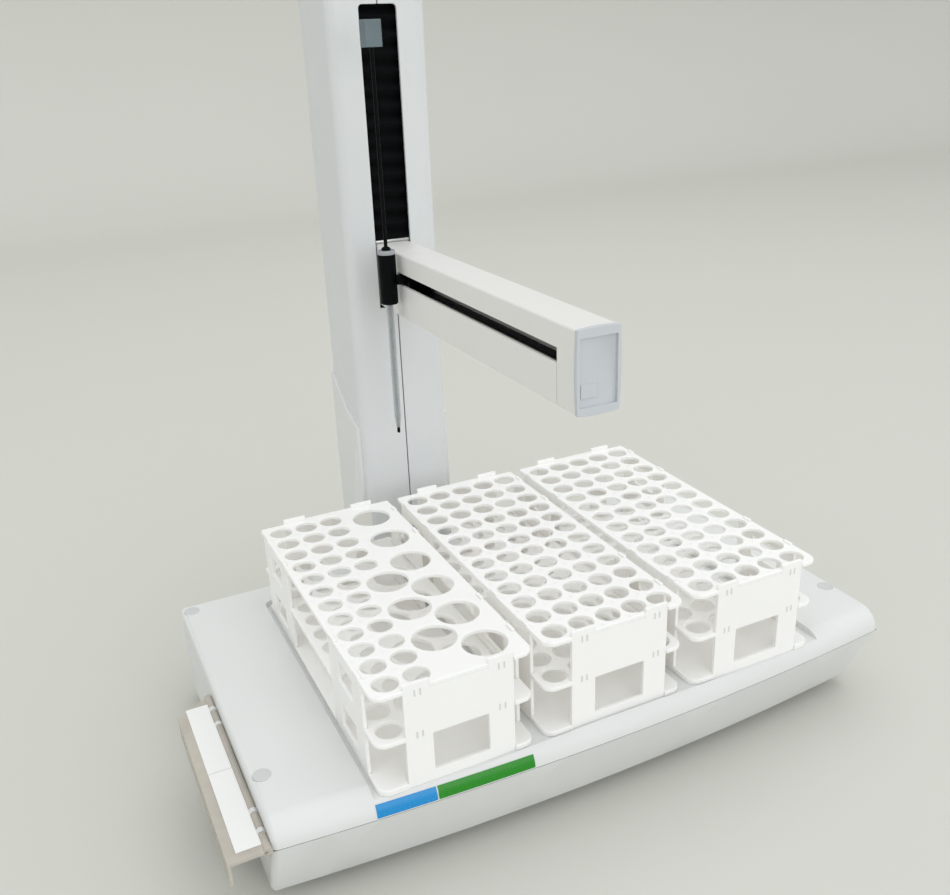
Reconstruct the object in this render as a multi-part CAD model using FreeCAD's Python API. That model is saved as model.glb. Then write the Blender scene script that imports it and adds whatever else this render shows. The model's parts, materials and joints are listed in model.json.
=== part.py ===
import FreeCAD, Part
import math
import os

# Bench autosampler: a low base with three lift-out tube racks, a tower that travels
# along the back of the base, an arm that climbs the tower, and a probe that travels
# along the arm. Lengths are in millimetres. Z is up, X runs along the front edge and
# Y to the back. While it is being built, the rear left tube place of the middle rack is
# the datum, on the rack's top face. The finished pieces stand on Z = 0.

# Tube places
pitch = 20.5
rack_columns = 5
rack_rows = 12
small_hole = 17.0
big_hole = 30.0
small_hole_sides = 6
shelf_hole_sides = 4
big_hole_sides = 8
big_outer_inset = 10.0
big_inner_step = 26.0
big_outer_count = 6
big_inner_count = 3
left_rack_full_columns = 2
left_rack_short_rows = 5

# Racks
rack_margin = 13.25
rack_gap = 8.4
rack_height = 72.5
plate = 3.0
bottom_plate = 4.0
middle_plate_depth = 34.0
ear_radius = 8.0
rear_corner_radius = 2.0
ear_reach = 1.0
panel = 2.5
panel_width = 74.4
panel_offset = 2.5
horn_width = 17.5
horn_rise = 3.0
panel_window_width = 38.5
panel_window_top = 37.0
panel_sill = 7.5
side_panel_length = 62.0
side_panel_rear_gap = 9.5
side_panel_front_gap = 21.5
side_post = 17.0
side_rail = 7.0
side_tab = 8.0
side_tab_rise = 1.0
joint_gap = 0.1
beyond = 50.0

# Base
base_left_margin = 67.85
base_right_margin = 73.85
base_front_margin = 9.25
base_rear = 42.0
front_bow = 12.0
deck_level = -68.0
lip_radius = 16.0
seam_level = -84.0
base_bottom = -140.0
skirt_set_back = 26.0
base_wall = 3.0
edge_round = 4.0
seam_depth = 0.8
seam_width = 0.8
recess_left_gap = 3.8
recess_right_gap = 9.8
recess_rear_gap = 2.75
recess_front_gap = 1.75
recess_radius = 6.0
foot_diameter = 22.0
foot_height = 10.0
foot_inset = 30.0
plug_diameter = 12.0
plug_inset = 8.0
plug_rise = 0.4
plug_stem = 6.0
plug_seat = 1.2
plug_sides = 12
stem_sides = 6
foot_sides = 16
front_plug_y = -187.0

# Tower travel drive inside the base
travel_left = 105.0
travel_right = 210.0
rod_diameter = 10.0
front_rod_y = 2.0
rear_rod_y = 22.0
rod_level = -112.5
running_gap = 0.05
bore_sides = 12
rail_bracket = 8.0
rail_end_gap = 6.0
foot_block_width = 60.0
foot_block_length = 36.0
foot_block_height = 25.0
tongue = 12.0
tongue_width = 50.0
slot_gap = 3.0
belt_width = 6.0
belt_thickness = 1.5
belt_sides = 12
belt_slack = 0.6
belt_clear = 0.4
x_pulley_diameter = 16.0
x_belt_y = -15.0
pulley_sides = 16
pulley_over = 1.0
pulley_clear = 3.0
pulley_flange = 0.8
pulley_flange_rise = 2.0
idler_post = 12.0
motor_stand_off = 5.0
shaft_over = 2.0
clamp_length = 16.0
clamp_lip = 2.0
clamp_under = 4.0
clamp_over = 6.0
motor_size = 42.0
motor_length = 38.0
shaft_diameter = 5.0

# Tower
tower_centre = 13.5
tower_width = 79.0
tower_depth = 80.0
tower_front = 50.0
tower_wall = 2.5
tower_front_round = 9.0
tower_rear_round = 16.0
window_to_top = 32.5
tower_seam = 0.8
cap_height = 6.0
cap_round = 3.0
window_width = 30.0
window_bottom = 154.0
window_top = 381.5
window_round = 3.0
shroud_wall = 2.5
shroud_rear_top = 84.0
shroud_front_top = 50.0
shroud_front_gap = 7.0
shroud_edge = 0.5
shroud_dip_place = 0.45
shroud_dip_rise = 0.28
z_rod_diameter = 8.0
z_rod_spacing = 54.0
z_axis_depth = 50.0
screw_diameter = 8.0
screw_end_gap = 0.3
bellows_width = 34.0
bellows_depth = 6.0
bellows_sheet = 0.8
bellows_pleats = 14
bellows_over = 4.5
bellows_clear = 0.5
bellows_bottom_gap = 6.0

# Arm
arm_width = 28.0
arm_height = 50.0
arm_bottom = 156.0
arm_wall = 2.5
arm_round = 1.5
arm_front = -254.5
end_cap = 3.0
cap_bow = 0.8
cap_rim = 1.6
cap_deep = 1.6
cap_panel_low = 4.5
cap_panel_high = 5.0
cap_groove_width = 2.4
cap_groove_depth = 0.6
cap_pad_width = 11.0
cap_pad_height = 8.0
cap_pad_left = 1.0
cap_pad_low = 5.5
cap_pad_rise = 0.8
root_joint_y = 3.0
root_inside = 10.0
carriage_inset = 4.0
cover_joint = 0.4
front_block = 20.0
slot_height = 9.0
slot_above_bottom = 26.0
lift = 140.0
carriage_plate = 24.0
carriage_side_gap = 3.5
shutter = 1.5
shutter_overlap = 1.5
shutter_under = 6.0
y_rod_diameter = 6.0
y_rod_offset = 1.5
y_rod_root = 8.0
y_belt_from_wall = 4.2
y_belt_under_slot = 19.5
y_idler_from_cap = 12.0
y_motor_gap = 1.0
y_pulley_diameter = 12.0
y_motor_size = 28.0
y_motor_length = 20.0
y_shaft = 3.0

# Probe
probe_x = -10.5
probe_y = 4.0
probe_travel = 229.0
probe_drop = 57.0
holder_diameter = 13.6
holder_height = 38.0
holder_bottom = 169.0
ring_height = 3.0
nut_diameter = 7.0
nut_height = 2.4
stub_diameter = 8.0
carriage_length = 22.0
carriage_width = 17.0
carriage_height = 18.0
carriage_gap = 0.6
grip = 1.0
grip_gap = 0.4
grip_inset = 4.0
holder_sides = 20
probe_rod = 2.8
sheath_diameter = 5.4
sheath_top = 186.0
sheath_bottom = 76.0
taper_end = 67.0
taper_diameter = 3.0
tip_bottom = 62.0
tip_diameter = 2.4
block_bottom = 352.0
block_height = 18.0
block_width = 14.0
block_depth = 10.0
block_bore = 3.4
block_bore_sides = 8
block_floor = 4.0
block_chamfer = 1.5
tip_sides = 8

# Wash pump on the left wall
pump_y = -150.0
pump_level = -110.0
pump_bed_length = 52.0
pump_bed_height = 48.0
pump_bed_depth = 18.0
pump_track_radius = 18.0
pump_bed_rim = 6.0
pump_back = 3.0
pump_chamfer = 1.5
roller_count = 3
roller_diameter = 9.0
roller_circle = 10.0
roller_length = 9.0
roller_play = 0.3
roller_sides = 12
rotor_disc = 24.0
rotor_disc_thickness = 2.5
rotor_sides = 18
rotor_gap = 0.8
rotor_pin_root = 0.5
pump_shaft_inside = 14.0
rotor_pin = 3.0
pump_shaft = 6.0
cover_reach = 27.0
cover_thickness = 2.0
cover_skirt = 16.0
cover_front_y = -238.0
cover_rear_y = -70.0
cover_slant = 17.0
hinge_level = -81.2
hinge_pin = 3.0
hinge_gap = 0.3
knuckle = 5.6
knuckle_length = 14.0
knuckle_inset = 20.0
knuckle_sides = 12
knuckle_clear = 0.6
lug_clear = 0.5
lug_sides = 8
lug_length = 4.0
lug_drop = 9.0

# Rear of the base
switch_width = 13.0
switch_height = 19.0
switch_x = -172.0
rocker_play = 1.4
rocker_gap = 0.3
rocker_pin = 2.0
rocker_pin_depth = 4.0
rocker_back = 3.0
rocker_back_half = 4.0
rocker_pressed = 4.0
rocker_dip = 4.5
rocker_raised = 6.5
socket_x = -143.0
socket_diameter = 12.0
data_socket_x = 267.0
data_socket_width = 13.0
data_socket_height = 12.0
rear_fitting_level = -112.0
fitting_rise = 1.5
fitting_depth = 8.0
fitting_wall = 1.5
fitting_flange = 2.0
inlet_sides = 12
inlet_well = 6.5
inlet_well_sides = 8
inlet_pin = 2.0
inlet_pin_sides = 6
contact_recess = 1.0
data_tongue_width = 6.0
data_tongue_height = 4.0

# Worked out sizes
rack_width = (rack_columns - 1) * pitch + 2 * rack_margin
rack_rear = rack_margin
rack_front = -(rack_rows - 1) * pitch - rack_margin
rack_mid_x = (rack_columns - 1) * pitch / 2
rack_spacing = rack_width + rack_gap
big_columns_x = (rack_columns - 1) * pitch - big_outer_inset
big_inner_x = big_columns_x - big_inner_step
panel_front_face = rack_front + ear_reach
group_left = -rack_spacing - rack_margin
group_right = rack_spacing + (rack_columns - 1) * pitch + rack_margin
base_left = group_left - base_left_margin
base_right = group_right + base_right_margin
front_reach = base_front_margin - rack_front
base_mid = (base_left + base_right) / 2
half_base = (base_right - base_left) / 2
bow_radius = (half_base ** 2 + front_bow ** 2) / (2 * front_bow)
bow_centre_y = bow_radius - front_reach
bow_sweep = 2 * math.degrees(math.asin(half_base / bow_radius)) + 2
floor_level = -rack_height
bench_level = base_bottom - foot_height
tower_left = tower_centre - tower_width / 2
tower_right = tower_centre + tower_width / 2
tower_rear = tower_front + tower_depth
z_axis_y = tower_front + z_axis_depth
arm_left = tower_centre - arm_width / 2
arm_right = tower_centre + arm_width / 2
arm_top = arm_bottom + arm_height
slot_bottom = arm_bottom + slot_above_bottom
slot_middle = slot_bottom + slot_height / 2
slot_front_y = arm_front + end_cap + front_block
tower_top = window_top + window_to_top
bellows_top = window_top + bellows_over
foot_top = rod_level + foot_block_height / 2
tongue_bottom = rod_level - tongue / 2
tongue_top = rod_level + tongue / 2
total_left = base_left - cover_reach
total_rear = tower_rear + shroud_wall
frame_shift = FreeCAD.Vector(-(total_left + base_right) / 2, -(total_rear + arm_front) / 2, -bench_level)


def vector(x, y, z):
    return FreeCAD.Vector(x, y, z)


def box(x0, x1, y0, y1, z0, z1):
    return Part.makeBox(x1 - x0, y1 - y0, z1 - z0, vector(x0, y0, z0))


def rod_z(x, y, z0, z1, diameter):
    return Part.makeCylinder(diameter / 2, z1 - z0, vector(x, y, z0), vector(0, 0, 1))


def rod_x(y, z, x0, x1, diameter):
    return Part.makeCylinder(diameter / 2, x1 - x0, vector(x0, y, z), vector(1, 0, 0))


def rod_y(x, z, y0, y1, diameter):
    return Part.makeCylinder(diameter / 2, y1 - y0, vector(x, y0, z), vector(0, 1, 0))


def turned(base, axis, radius, length, sides):
    # a bar with many sides, its edges on the circle, along axis from base
    if abs(axis.z) > 0.5:
        first, second = vector(1, 0, 0), vector(0, 1, 0)
    elif abs(axis.x) > 0.5:
        first, second = vector(0, 1, 0), vector(0, 0, 1)
    else:
        first, second = vector(0, 0, 1), vector(1, 0, 0)
    points = []
    for side in range(sides):
        angle = 2 * math.pi * (side + 0.5) / sides
        points.append(base + first * (radius * math.cos(angle)) + second * (radius * math.sin(angle)))
    return polygon_prism(points, axis * length)


def bar_z(x, y, z0, z1, diameter, sides):
    return turned(vector(x, y, z0), vector(0, 0, 1), diameter / 2, z1 - z0, sides)


def bar_x(y, z, x0, x1, diameter, sides):
    return turned(vector(x0, y, z), vector(1, 0, 0), diameter / 2, x1 - x0, sides)


def bar_y(x, z, y0, y1, diameter, sides):
    return turned(vector(x, y0, z), vector(0, 1, 0), diameter / 2, y1 - y0, sides)


def running_bore(base, axis, diameter, length):
    # a bore whose flats clear a round shaft of that diameter
    radius = (diameter / 2 + running_gap) / math.cos(math.pi / bore_sides)
    return turned(base, axis, radius, length, bore_sides)


def bore_x(y, z, x0, x1, diameter):
    return running_bore(vector(x0, y, z), vector(1, 0, 0), diameter, x1 - x0)


def bore_y(x, z, y0, y1, diameter):
    return running_bore(vector(x, y0, z), vector(0, 1, 0), diameter, y1 - y0)


def bore_z(x, y, z0, z1, diameter):
    return running_bore(vector(x, y, z0), vector(0, 0, 1), diameter, z1 - z0)


def join(shapes):
    whole = shapes[0]
    for extra in shapes[1:]:
        whole = whole.fuse(extra)
    return whole.removeSplitter()


def group(shapes):
    return Part.makeCompound(shapes)


def save(name, shape):
    placed = shape.copy()
    placed.translate(frame_shift)
    placed.exportStep("parts/" + name + ".step")


def round_outline(x0, x1, y0, y1, radii, z):
    # radii are those of the corners front left, front right, rear right and rear left
    fl, fr, rr, rl = radii
    turn = math.sqrt(0.5)
    pieces = [
        Part.LineSegment(vector(x0 + fl, y0, z), vector(x1 - fr, y0, z)),
        Part.Arc(
            vector(x1 - fr, y0, z),
            vector(x1 - fr + fr * turn, y0 + fr - fr * turn, z),
            vector(x1, y0 + fr, z),
        ),
        Part.LineSegment(vector(x1, y0 + fr, z), vector(x1, y1 - rr, z)),
        Part.Arc(
            vector(x1, y1 - rr, z),
            vector(x1 - rr + rr * turn, y1 - rr + rr * turn, z),
            vector(x1 - rr, y1, z),
        ),
        Part.LineSegment(vector(x1 - rr, y1, z), vector(x0 + rl, y1, z)),
        Part.Arc(
            vector(x0 + rl, y1, z),
            vector(x0 + rl - rl * turn, y1 - rl + rl * turn, z),
            vector(x0, y1 - rl, z),
        ),
        Part.LineSegment(vector(x0, y1 - rl, z), vector(x0, y0 + fl, z)),
        Part.Arc(
            vector(x0, y0 + fl, z),
            vector(x0 + fl - fl * turn, y0 + fl - fl * turn, z),
            vector(x0 + fl, y0, z),
        ),
    ]
    return Part.Wire([piece.toShape() for piece in pieces])


def round_prism(x0, x1, y0, y1, z0, z1, radii):
    face = Part.Face(round_outline(x0, x1, y0, y1, radii, z0))
    return face.extrude(vector(0, 0, z1 - z0))


def polygon_prism(points, direction):
    return Part.Face(Part.makePolygon(points + points[:1])).extrude(direction)


def hole_wire(x, y, z, diameter, sides):
    # a regular polygon round the hole's true circle
    reach = diameter / 2 / math.cos(math.pi / sides)
    points = []
    for side in range(sides):
        angle = math.pi / 2 + 2 * math.pi * (side + 0.5) / sides
        points.append(vector(x + reach * math.cos(angle), y + reach * math.sin(angle), z))
    return Part.makePolygon(points + points[:1])


# Tube places, as (x, y, diameter) from the rack's own rear left place


def full_pattern():
    places = []
    for column in range(rack_columns):
        for row in range(rack_rows):
            places.append((column * pitch, -row * pitch, small_hole))
    return places


def mixed_pattern():
    places = []
    for column in range(left_rack_full_columns):
        for row in range(rack_rows):
            places.append((column * pitch, -row * pitch, small_hole))
    for row in range(left_rack_short_rows):
        places.append((left_rack_full_columns * pitch, -row * pitch, small_hole))
    for number in range(big_outer_count):
        places.append((big_columns_x, -(0.5 + 2 * number) * pitch, big_hole))
    for number in range(big_inner_count):
        places.append((big_inner_x, -(5.5 + 2 * number) * pitch, big_hole))
    return places


# Racks: a perforated top and middle plate, a plain bottom plate, two end panels and
# four side panels


def side_panel_spans():
    rear_start = rack_rear - side_panel_rear_gap
    front_end = rack_front + side_panel_front_gap
    return [
        (rear_start - side_panel_length, rear_start),
        (front_end, front_end + side_panel_length),
    ]


def side_tab_spans(span):
    low, high = span
    inset = (side_post - side_tab) / 2
    return [(low + inset, low + inset + side_tab), (high - inset - side_tab, high - inset)]


def plate_outline(x, z):
    # the rear corners are small, the front ones are wide ears
    left = x - rack_margin
    right = left + rack_width
    points = []
    corners = [
        (left + ear_radius, rack_front + ear_radius, ear_radius, 180.0),
        (right - ear_radius, rack_front + ear_radius, ear_radius, 270.0),
        (right - rear_corner_radius, rack_rear - rear_corner_radius, rear_corner_radius, 0.0),
        (left + rear_corner_radius, rack_rear - rear_corner_radius, rear_corner_radius, 90.0),
    ]
    for centre_x, centre_y, radius, start in corners:
        steps = 4 if radius > rear_corner_radius else 1
        for step in range(steps + 1):
            angle = math.radians(start + 90.0 * step / steps)
            points.append(vector(centre_x + radius * math.cos(angle), centre_y + radius * math.sin(angle), z))
    return Part.makePolygon(points + points[:1])


def plate_blank(x, z0, z1, places, sides):
    wires = [plate_outline(x, z0)]
    for place_x, place_y, diameter in places:
        count = sides if diameter < big_hole else big_hole_sides
        wires.append(hole_wire(x + place_x, place_y, z0, diameter, count))
    face = Part.Face(wires, "Part::FaceMakerBullseye")
    return face.extrude(vector(0, 0, z1 - z0))


def panel_edges(x):
    middle = x + rack_mid_x + panel_offset
    return middle - panel_width / 2, middle + panel_width / 2


def rack_top(x, places):
    blank = plate_blank(x, -plate, 0.0, places, small_hole_sides)
    left, right = panel_edges(x)
    face_y = panel_front_face
    cuts = [box(left - joint_gap, right + joint_gap, rack_front - 1, face_y, -plate - 1, 1)]
    for edge_left, edge_right in (
        (left - joint_gap, left + horn_width + joint_gap),
        (right - horn_width - joint_gap, right + joint_gap),
    ):
        cuts.append(box(edge_left, edge_right, face_y - 1, face_y + panel + joint_gap, -plate - 1, 1))
    for span in side_panel_spans():
        for low, high in side_tab_spans(span):
            cuts += side_notches(x, low, high, -plate - 1, 1)
    return blank.cut(cuts).removeSplitter()


def side_notches(x, low, high, z0, z1):
    left = x - rack_margin
    right = left + rack_width
    depth = panel + joint_gap
    return [
        box(left - 1, left + depth, low - joint_gap, high + joint_gap, z0, z1),
        box(right - depth, right + 1, low - joint_gap, high + joint_gap, z0, z1),
    ]


def rack_shelf(x, z0, z1, places):
    blank = plate_blank(x, z0, z1, places, shelf_hole_sides)
    left, right = panel_edges(x)
    inner_y = panel_front_face + panel + joint_gap
    cuts = [box(left - joint_gap, right + joint_gap, rack_front - 1, inner_y, z0 - 1, z1 + 1)]
    for low, high in side_panel_spans():
        cuts += side_notches(x, low, high, z0 - 1, z1 + 1)
    return blank.cut(cuts).removeSplitter()


def rack_end_panel(x, y0, under_tongue):
    left, right = panel_edges(x)
    body = box(left, right, y0, y0 + panel, -rack_height, horn_rise)
    middle = (left + right) / 2
    inner_left = left + horn_width
    inner_right = right - horn_width
    tongue_cut = box(inner_left, inner_right, y0 - 1, y0 + panel + 1, under_tongue, horn_rise + 1)
    window = box(
        middle - panel_window_width / 2,
        middle + panel_window_width / 2,
        y0 - 1,
        y0 + panel + 1,
        -rack_height + panel_sill,
        -panel_window_top,
    )
    return body.cut([tongue_cut, window])


def rack_side_panel(outer_x, inward, span):
    low, high = span
    x0 = min(outer_x, outer_x + inward * panel)
    x1 = x0 + panel
    body = box(x0, x1, low, high, -rack_height, -plate)
    for tab_low, tab_high in side_tab_spans(span):
        body = body.fuse(box(x0, x1, tab_low, tab_high, -plate, side_tab_rise))
    openings = []
    upper_bottom = -middle_plate_depth + side_rail
    lower_top = -middle_plate_depth - plate - side_rail
    for z0, z1 in (
        (upper_bottom, -plate - side_rail),
        (-rack_height + side_rail + bottom_plate, lower_top),
    ):
        openings.append(box(x0 - 1, x1 + 1, low + side_post, high - side_post, z0, z1))
    return body.cut(openings).removeSplitter()


def make_rack(side, x, places):
    save("rack_top_" + side, rack_top(x, places))
    shelf_top = -middle_plate_depth
    save("rack_shelf_" + side, rack_shelf(x, shelf_top - plate, shelf_top, places))
    save("rack_bottom_" + side, rack_shelf(x, -rack_height, -rack_height + bottom_plate, []))
    front = rack_end_panel(x, panel_front_face, -plate)
    rear = rack_end_panel(x, rack_rear, 0.0)
    save("rack_ends_" + side, group([front, rear]))
    walls = []
    for span in side_panel_spans():
        walls.append(rack_side_panel(x - rack_margin, 1, span))
        walls.append(rack_side_panel(x - rack_margin + rack_width, -1, span))
    save("rack_sides_" + side, group(walls))


def make_racks():
    make_rack("left", -rack_spacing, mixed_pattern())
    make_rack("middle", 0.0, full_pattern())
    make_rack("right", rack_spacing, full_pattern())


# Base: both shells follow the same bowed front, turned about a far upright axis


def bowed_solid(outline):
    # outline is a closed wire across the middle of the base
    face = Part.Face(outline)
    axis_point = vector(base_mid, bow_centre_y, 0)
    face.rotate(axis_point, vector(0, 0, 1), -bow_sweep / 2)
    return face.revolve(axis_point, vector(0, 0, 1), bow_sweep)


def closed_wire(curves):
    return Part.Wire([curve.toShape() for curve in curves])


def cover_solid(inset, level):
    # the deck, its front lip and the upper rim, taken in by inset; the outer lip is round and
    # the one inside has two flats
    front = -front_reach + inset
    radius = lip_radius - inset
    top = deck_level - inset
    turn = math.sqrt(0.5)
    far_rear = base_rear + beyond
    start = vector(base_mid, front, top - radius)
    middle = vector(base_mid, front + radius - radius * turn, top - radius + radius * turn)
    end = vector(base_mid, front + radius, top)
    low_front = vector(base_mid, front, level)
    low_rear = vector(base_mid, far_rear, level)
    high_rear = vector(base_mid, far_rear, top)
    curves = [Part.LineSegment(end, high_rear), Part.LineSegment(high_rear, low_rear)]
    curves.append(Part.LineSegment(low_rear, low_front))
    if inset > 0:
        curves = [Part.LineSegment(start, middle), Part.LineSegment(middle, end)] + curves
    else:
        curves.insert(0, Part.Arc(start, middle, end))
    if start.z - level > 0.01:
        curves.append(Part.LineSegment(low_front, start))
    body = bowed_solid(closed_wire(curves))
    return body.common(base_span(inset, level, top))


def base_span(inset, low, high):
    # a block as long and deep as the base, taken in by inset, and reaching ahead of the bow
    left = base_left + inset
    right = base_right - inset
    return box(left, right, -front_reach - beyond, base_rear - inset, low, high)


def pan_solid(inset, low, high):
    # the skirt, whose front leans back towards the bottom
    lean = skirt_set_back / (seam_level - base_bottom)
    front_high = -front_reach + inset + (seam_level - high) * lean
    front_low = -front_reach + inset + (seam_level - low) * lean
    far_rear = base_rear + beyond
    points = [
        vector(base_mid, front_high, high),
        vector(base_mid, far_rear, high),
        vector(base_mid, far_rear, low),
        vector(base_mid, front_low, low),
    ]
    body = bowed_solid(Part.makePolygon(points + points[:1]))
    return body.common(base_span(inset, low, high))


def outer_corner_edges(shape, flat_level):
    # edges along the two ends and the rear corners, not those on flat_level
    chosen = []
    for edge in shape.Edges:
        bounds = edge.BoundBox
        off_end = min(abs(bounds.XMin - base_left), abs(bounds.XMin - base_right))
        on_end = bounds.XLength < 0.01 and off_end < 0.01
        on_flat = bounds.ZLength < 0.01 and abs(bounds.ZMin - flat_level) < 0.01
        if on_end and not on_flat:
            chosen.append(edge)
    return chosen


def recess_span():
    return (
        group_left - recess_left_gap,
        group_right + recess_right_gap,
        rack_front - recess_front_gap,
        rack_rear + panel + recess_rear_gap,
    )


def make_top_cover():
    solid = cover_solid(0.0, seam_level)
    solid = solid.makeFillet(edge_round, outer_corner_edges(solid, seam_level))
    x0, x1, y0, y1 = recess_span()
    radii = (recess_radius,) * 4
    recess = round_prism(x0, x1, y0, y1, floor_level, deck_level + 1, radii)
    hollow = cover_solid(base_wall, seam_level)
    thick = base_wall
    pad = box(x0 - thick, x1 + thick, y0 - thick, y1 + thick, floor_level - thick, deck_level)
    hollow = hollow.cut(pad)
    cover = solid.cut(hollow).cut(recess)
    stems = []
    for x, y in plug_places():
        stem = plug_stem + 2 * joint_gap
        head = plug_diameter + 2 * joint_gap
        stems.append(bar_z(x, y, deck_level - base_wall - 1, deck_level + 1, stem, stem_sides))
        stems.append(bar_z(x, y, deck_level - plug_seat, deck_level + 1, head, plug_sides))
    return cover.cut(stems).removeSplitter()


def plug_places():
    places = []
    for x in (base_left + plug_inset, base_right - plug_inset):
        places.append((x, base_rear - plug_inset))
        places.append((x, front_plug_y))
    return places


def make_plugs():
    plugs = []
    for x, y in plug_places():
        head = bar_z(x, y, deck_level - plug_seat, deck_level + plug_rise, plug_diameter, plug_sides)
        stem = bar_z(x, y, deck_level - base_wall, deck_level - plug_seat, plug_stem, stem_sides)
        plugs.append(head.fuse(stem).removeSplitter())
    return group(plugs)


def make_base_pan():
    rim_top = seam_level - seam_width
    outer = pan_solid(0.0, base_bottom, rim_top)
    outer = outer.makeFillet(edge_round, outer_corner_edges(outer, rim_top))
    rim = pan_solid(seam_depth, rim_top, seam_level)
    hollow = pan_solid(base_wall, base_bottom + base_wall, seam_level + 1)
    pan = outer.fuse(rim).cut(hollow)
    x0, x1 = tower_slot_span()
    slot_low = tongue_bottom - slot_gap
    slot_high = tongue_top + slot_gap
    slot = box(x0, x1, base_rear - base_wall - 2, base_rear + 2, slot_low, slot_high)
    pan = pan.cut([slot, switch_hole(), socket_hole(), data_hole(), pump_shaft_hole()])
    return pan.fuse(hinge_lugs()).removeSplitter()


def tower_slot_span():
    low = tower_centre - tongue_width / 2 - travel_left - slot_gap
    high = tower_centre + tongue_width / 2 + travel_right + slot_gap
    return low, high


def make_feet():
    feet = []
    for x in (base_left + foot_inset, base_right - foot_inset):
        for y in (base_rear - foot_inset, -front_reach + skirt_set_back + front_bow + foot_inset):
            feet.append(bar_z(x, y, bench_level, base_bottom, foot_diameter, foot_sides))
    return group(feet)


# Travel drive: two rods, their end brackets, a belt loop and its motor


def rail_span():
    return base_left + base_wall + rail_end_gap, base_right - base_wall - rail_end_gap


def make_x_rods():
    x0, x1 = rail_span()
    rods = []
    for y in (front_rod_y, rear_rod_y):
        rods.append(rod_x(y, rod_level, x0 + rail_bracket, x1 - rail_bracket, rod_diameter))
    return group(rods)


def make_rail_brackets():
    # the rods stand between their inner faces
    x0, x1 = rail_span()
    y0 = front_rod_y - rod_diameter
    y1 = rear_rod_y + rod_diameter
    brackets = []
    for low in (x0, x1 - rail_bracket):
        high = low + rail_bracket
        brackets.append(box(low, high, y0, y1, base_bottom + base_wall, rod_level + rod_diameter))
    return group(brackets)


def foot_span():
    return tower_centre - foot_block_width / 2, tower_centre + foot_block_width / 2


def x_pulley_places():
    low, high = foot_span()
    clear = x_pulley_diameter / 2 + pulley_clear
    return low - travel_left - clear, high + travel_right - foot_block_width / 4 + clear


def belt_loop(first, last, radius, across):
    # a closed flat belt round two pulleys, drawn along X and Z and across thick
    outer_radius = radius + belt_thickness

    def ring(reach):
        run = box(first, last, 0, across, -reach, reach)
        round_end = 2 * reach / math.cos(math.pi / belt_sides)
        ends = [bar_y(place, 0, 0, across, round_end, belt_sides) for place in (first, last)]
        return join([run] + ends)

    return ring(outer_radius).cut(ring(radius))


def make_x_belt():
    first, last = x_pulley_places()
    loop = belt_loop(first, last, x_pulley_diameter / 2, belt_width)
    loop.translate(vector(0, x_belt_y - belt_width / 2, rod_level))
    return loop


def make_x_pulley(x):
    side = belt_width / 2 + pulley_over
    rim = bar_y(x, rod_level, x_belt_y - side, x_belt_y + side, x_pulley_diameter - belt_slack, pulley_sides)
    flange_size = x_pulley_diameter + 2 * pulley_flange_rise
    flanges = []
    for y in (x_belt_y - side, x_belt_y + side - pulley_flange):
        flanges.append(bar_y(x, rod_level, y, y + pulley_flange, flange_size, pulley_sides))
    bore = bore_y(x, rod_level, x_belt_y - side - 1, x_belt_y + side + 1, shaft_diameter)
    return join([rim] + flanges).cut(bore)


def make_x_motor():
    first, last = x_pulley_places()
    face_y = x_belt_y - belt_width / 2 - motor_stand_off
    half = motor_size / 2
    body = box(last - half, last + half, face_y - motor_length, face_y, rod_level - half, rod_level + half)
    shaft = rod_y(last, rod_level, face_y, x_belt_y + belt_width / 2 + shaft_over, shaft_diameter)
    stand_foot = base_bottom + base_wall
    stand = box(last - half, last + half, face_y - motor_length, face_y, stand_foot, rod_level - half)
    return join([body, shaft, stand])


def make_idler_bracket():
    first, last = x_pulley_places()
    face_y = x_belt_y - belt_width / 2 - motor_stand_off
    half = idler_post / 2
    post = box(first - half, first + half, face_y - half, face_y, base_bottom + base_wall, rod_level + half)
    pin = rod_y(first, rod_level, face_y, x_belt_y + belt_width / 2 + shaft_over, shaft_diameter)
    return join([post, pin])


def make_tower_foot():
    low, high = foot_span()
    y0 = front_rod_y - (foot_block_length - (rear_rod_y - front_rod_y)) / 2
    block = box(low, high, y0, y0 + foot_block_length, rod_level - foot_block_height / 2, foot_top)
    bores = []
    for y in (front_rod_y, rear_rod_y):
        bores.append(bore_x(y, rod_level, low - 1, high + 1, rod_diameter))
    half = clamp_length / 2
    clamp_z = rod_level + x_pulley_diameter / 2
    belt_front = x_belt_y - belt_width / 2
    clamp = box(
        tower_centre - half,
        tower_centre + half,
        belt_front - clamp_lip,
        y0,
        clamp_z - clamp_under,
        clamp_z + clamp_over,
    )
    belt_way = box(
        tower_centre - half - 1,
        tower_centre + half + 1,
        belt_front - belt_clear,
        belt_front + belt_width + belt_clear,
        clamp_z - belt_clear,
        clamp_z + belt_thickness + belt_clear,
    )
    neck = box(
        tower_centre - tongue_width / 2,
        tower_centre + tongue_width / 2,
        y0 + foot_block_length,
        tower_front + tower_wall,
        tongue_bottom,
        tongue_top,
    )
    inner = tower_wall + joint_gap
    floor = round_prism(
        tower_left + inner,
        tower_right - inner,
        tower_front + inner,
        tower_rear - inner,
        tongue_bottom,
        tongue_top,
        tower_radii(inner),
    )
    whole = join([block.cut(bores), clamp.cut(belt_way), neck, floor])
    return whole


# Tower


def tower_radii(inset):
    front = tower_front_round - inset
    rear = tower_rear_round - inset
    return front, front, rear, rear


def tower_tube():
    radii = tower_radii(0.0)
    outer = round_prism(tower_left, tower_right, tower_front, tower_rear, base_bottom, tower_top, radii)
    inner = round_prism(
        tower_left + tower_wall,
        tower_right - tower_wall,
        tower_front + tower_wall,
        tower_rear - tower_wall,
        base_bottom,
        tower_top,
        tower_radii(tower_wall),
    )
    return outer.cut(inner)


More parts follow.
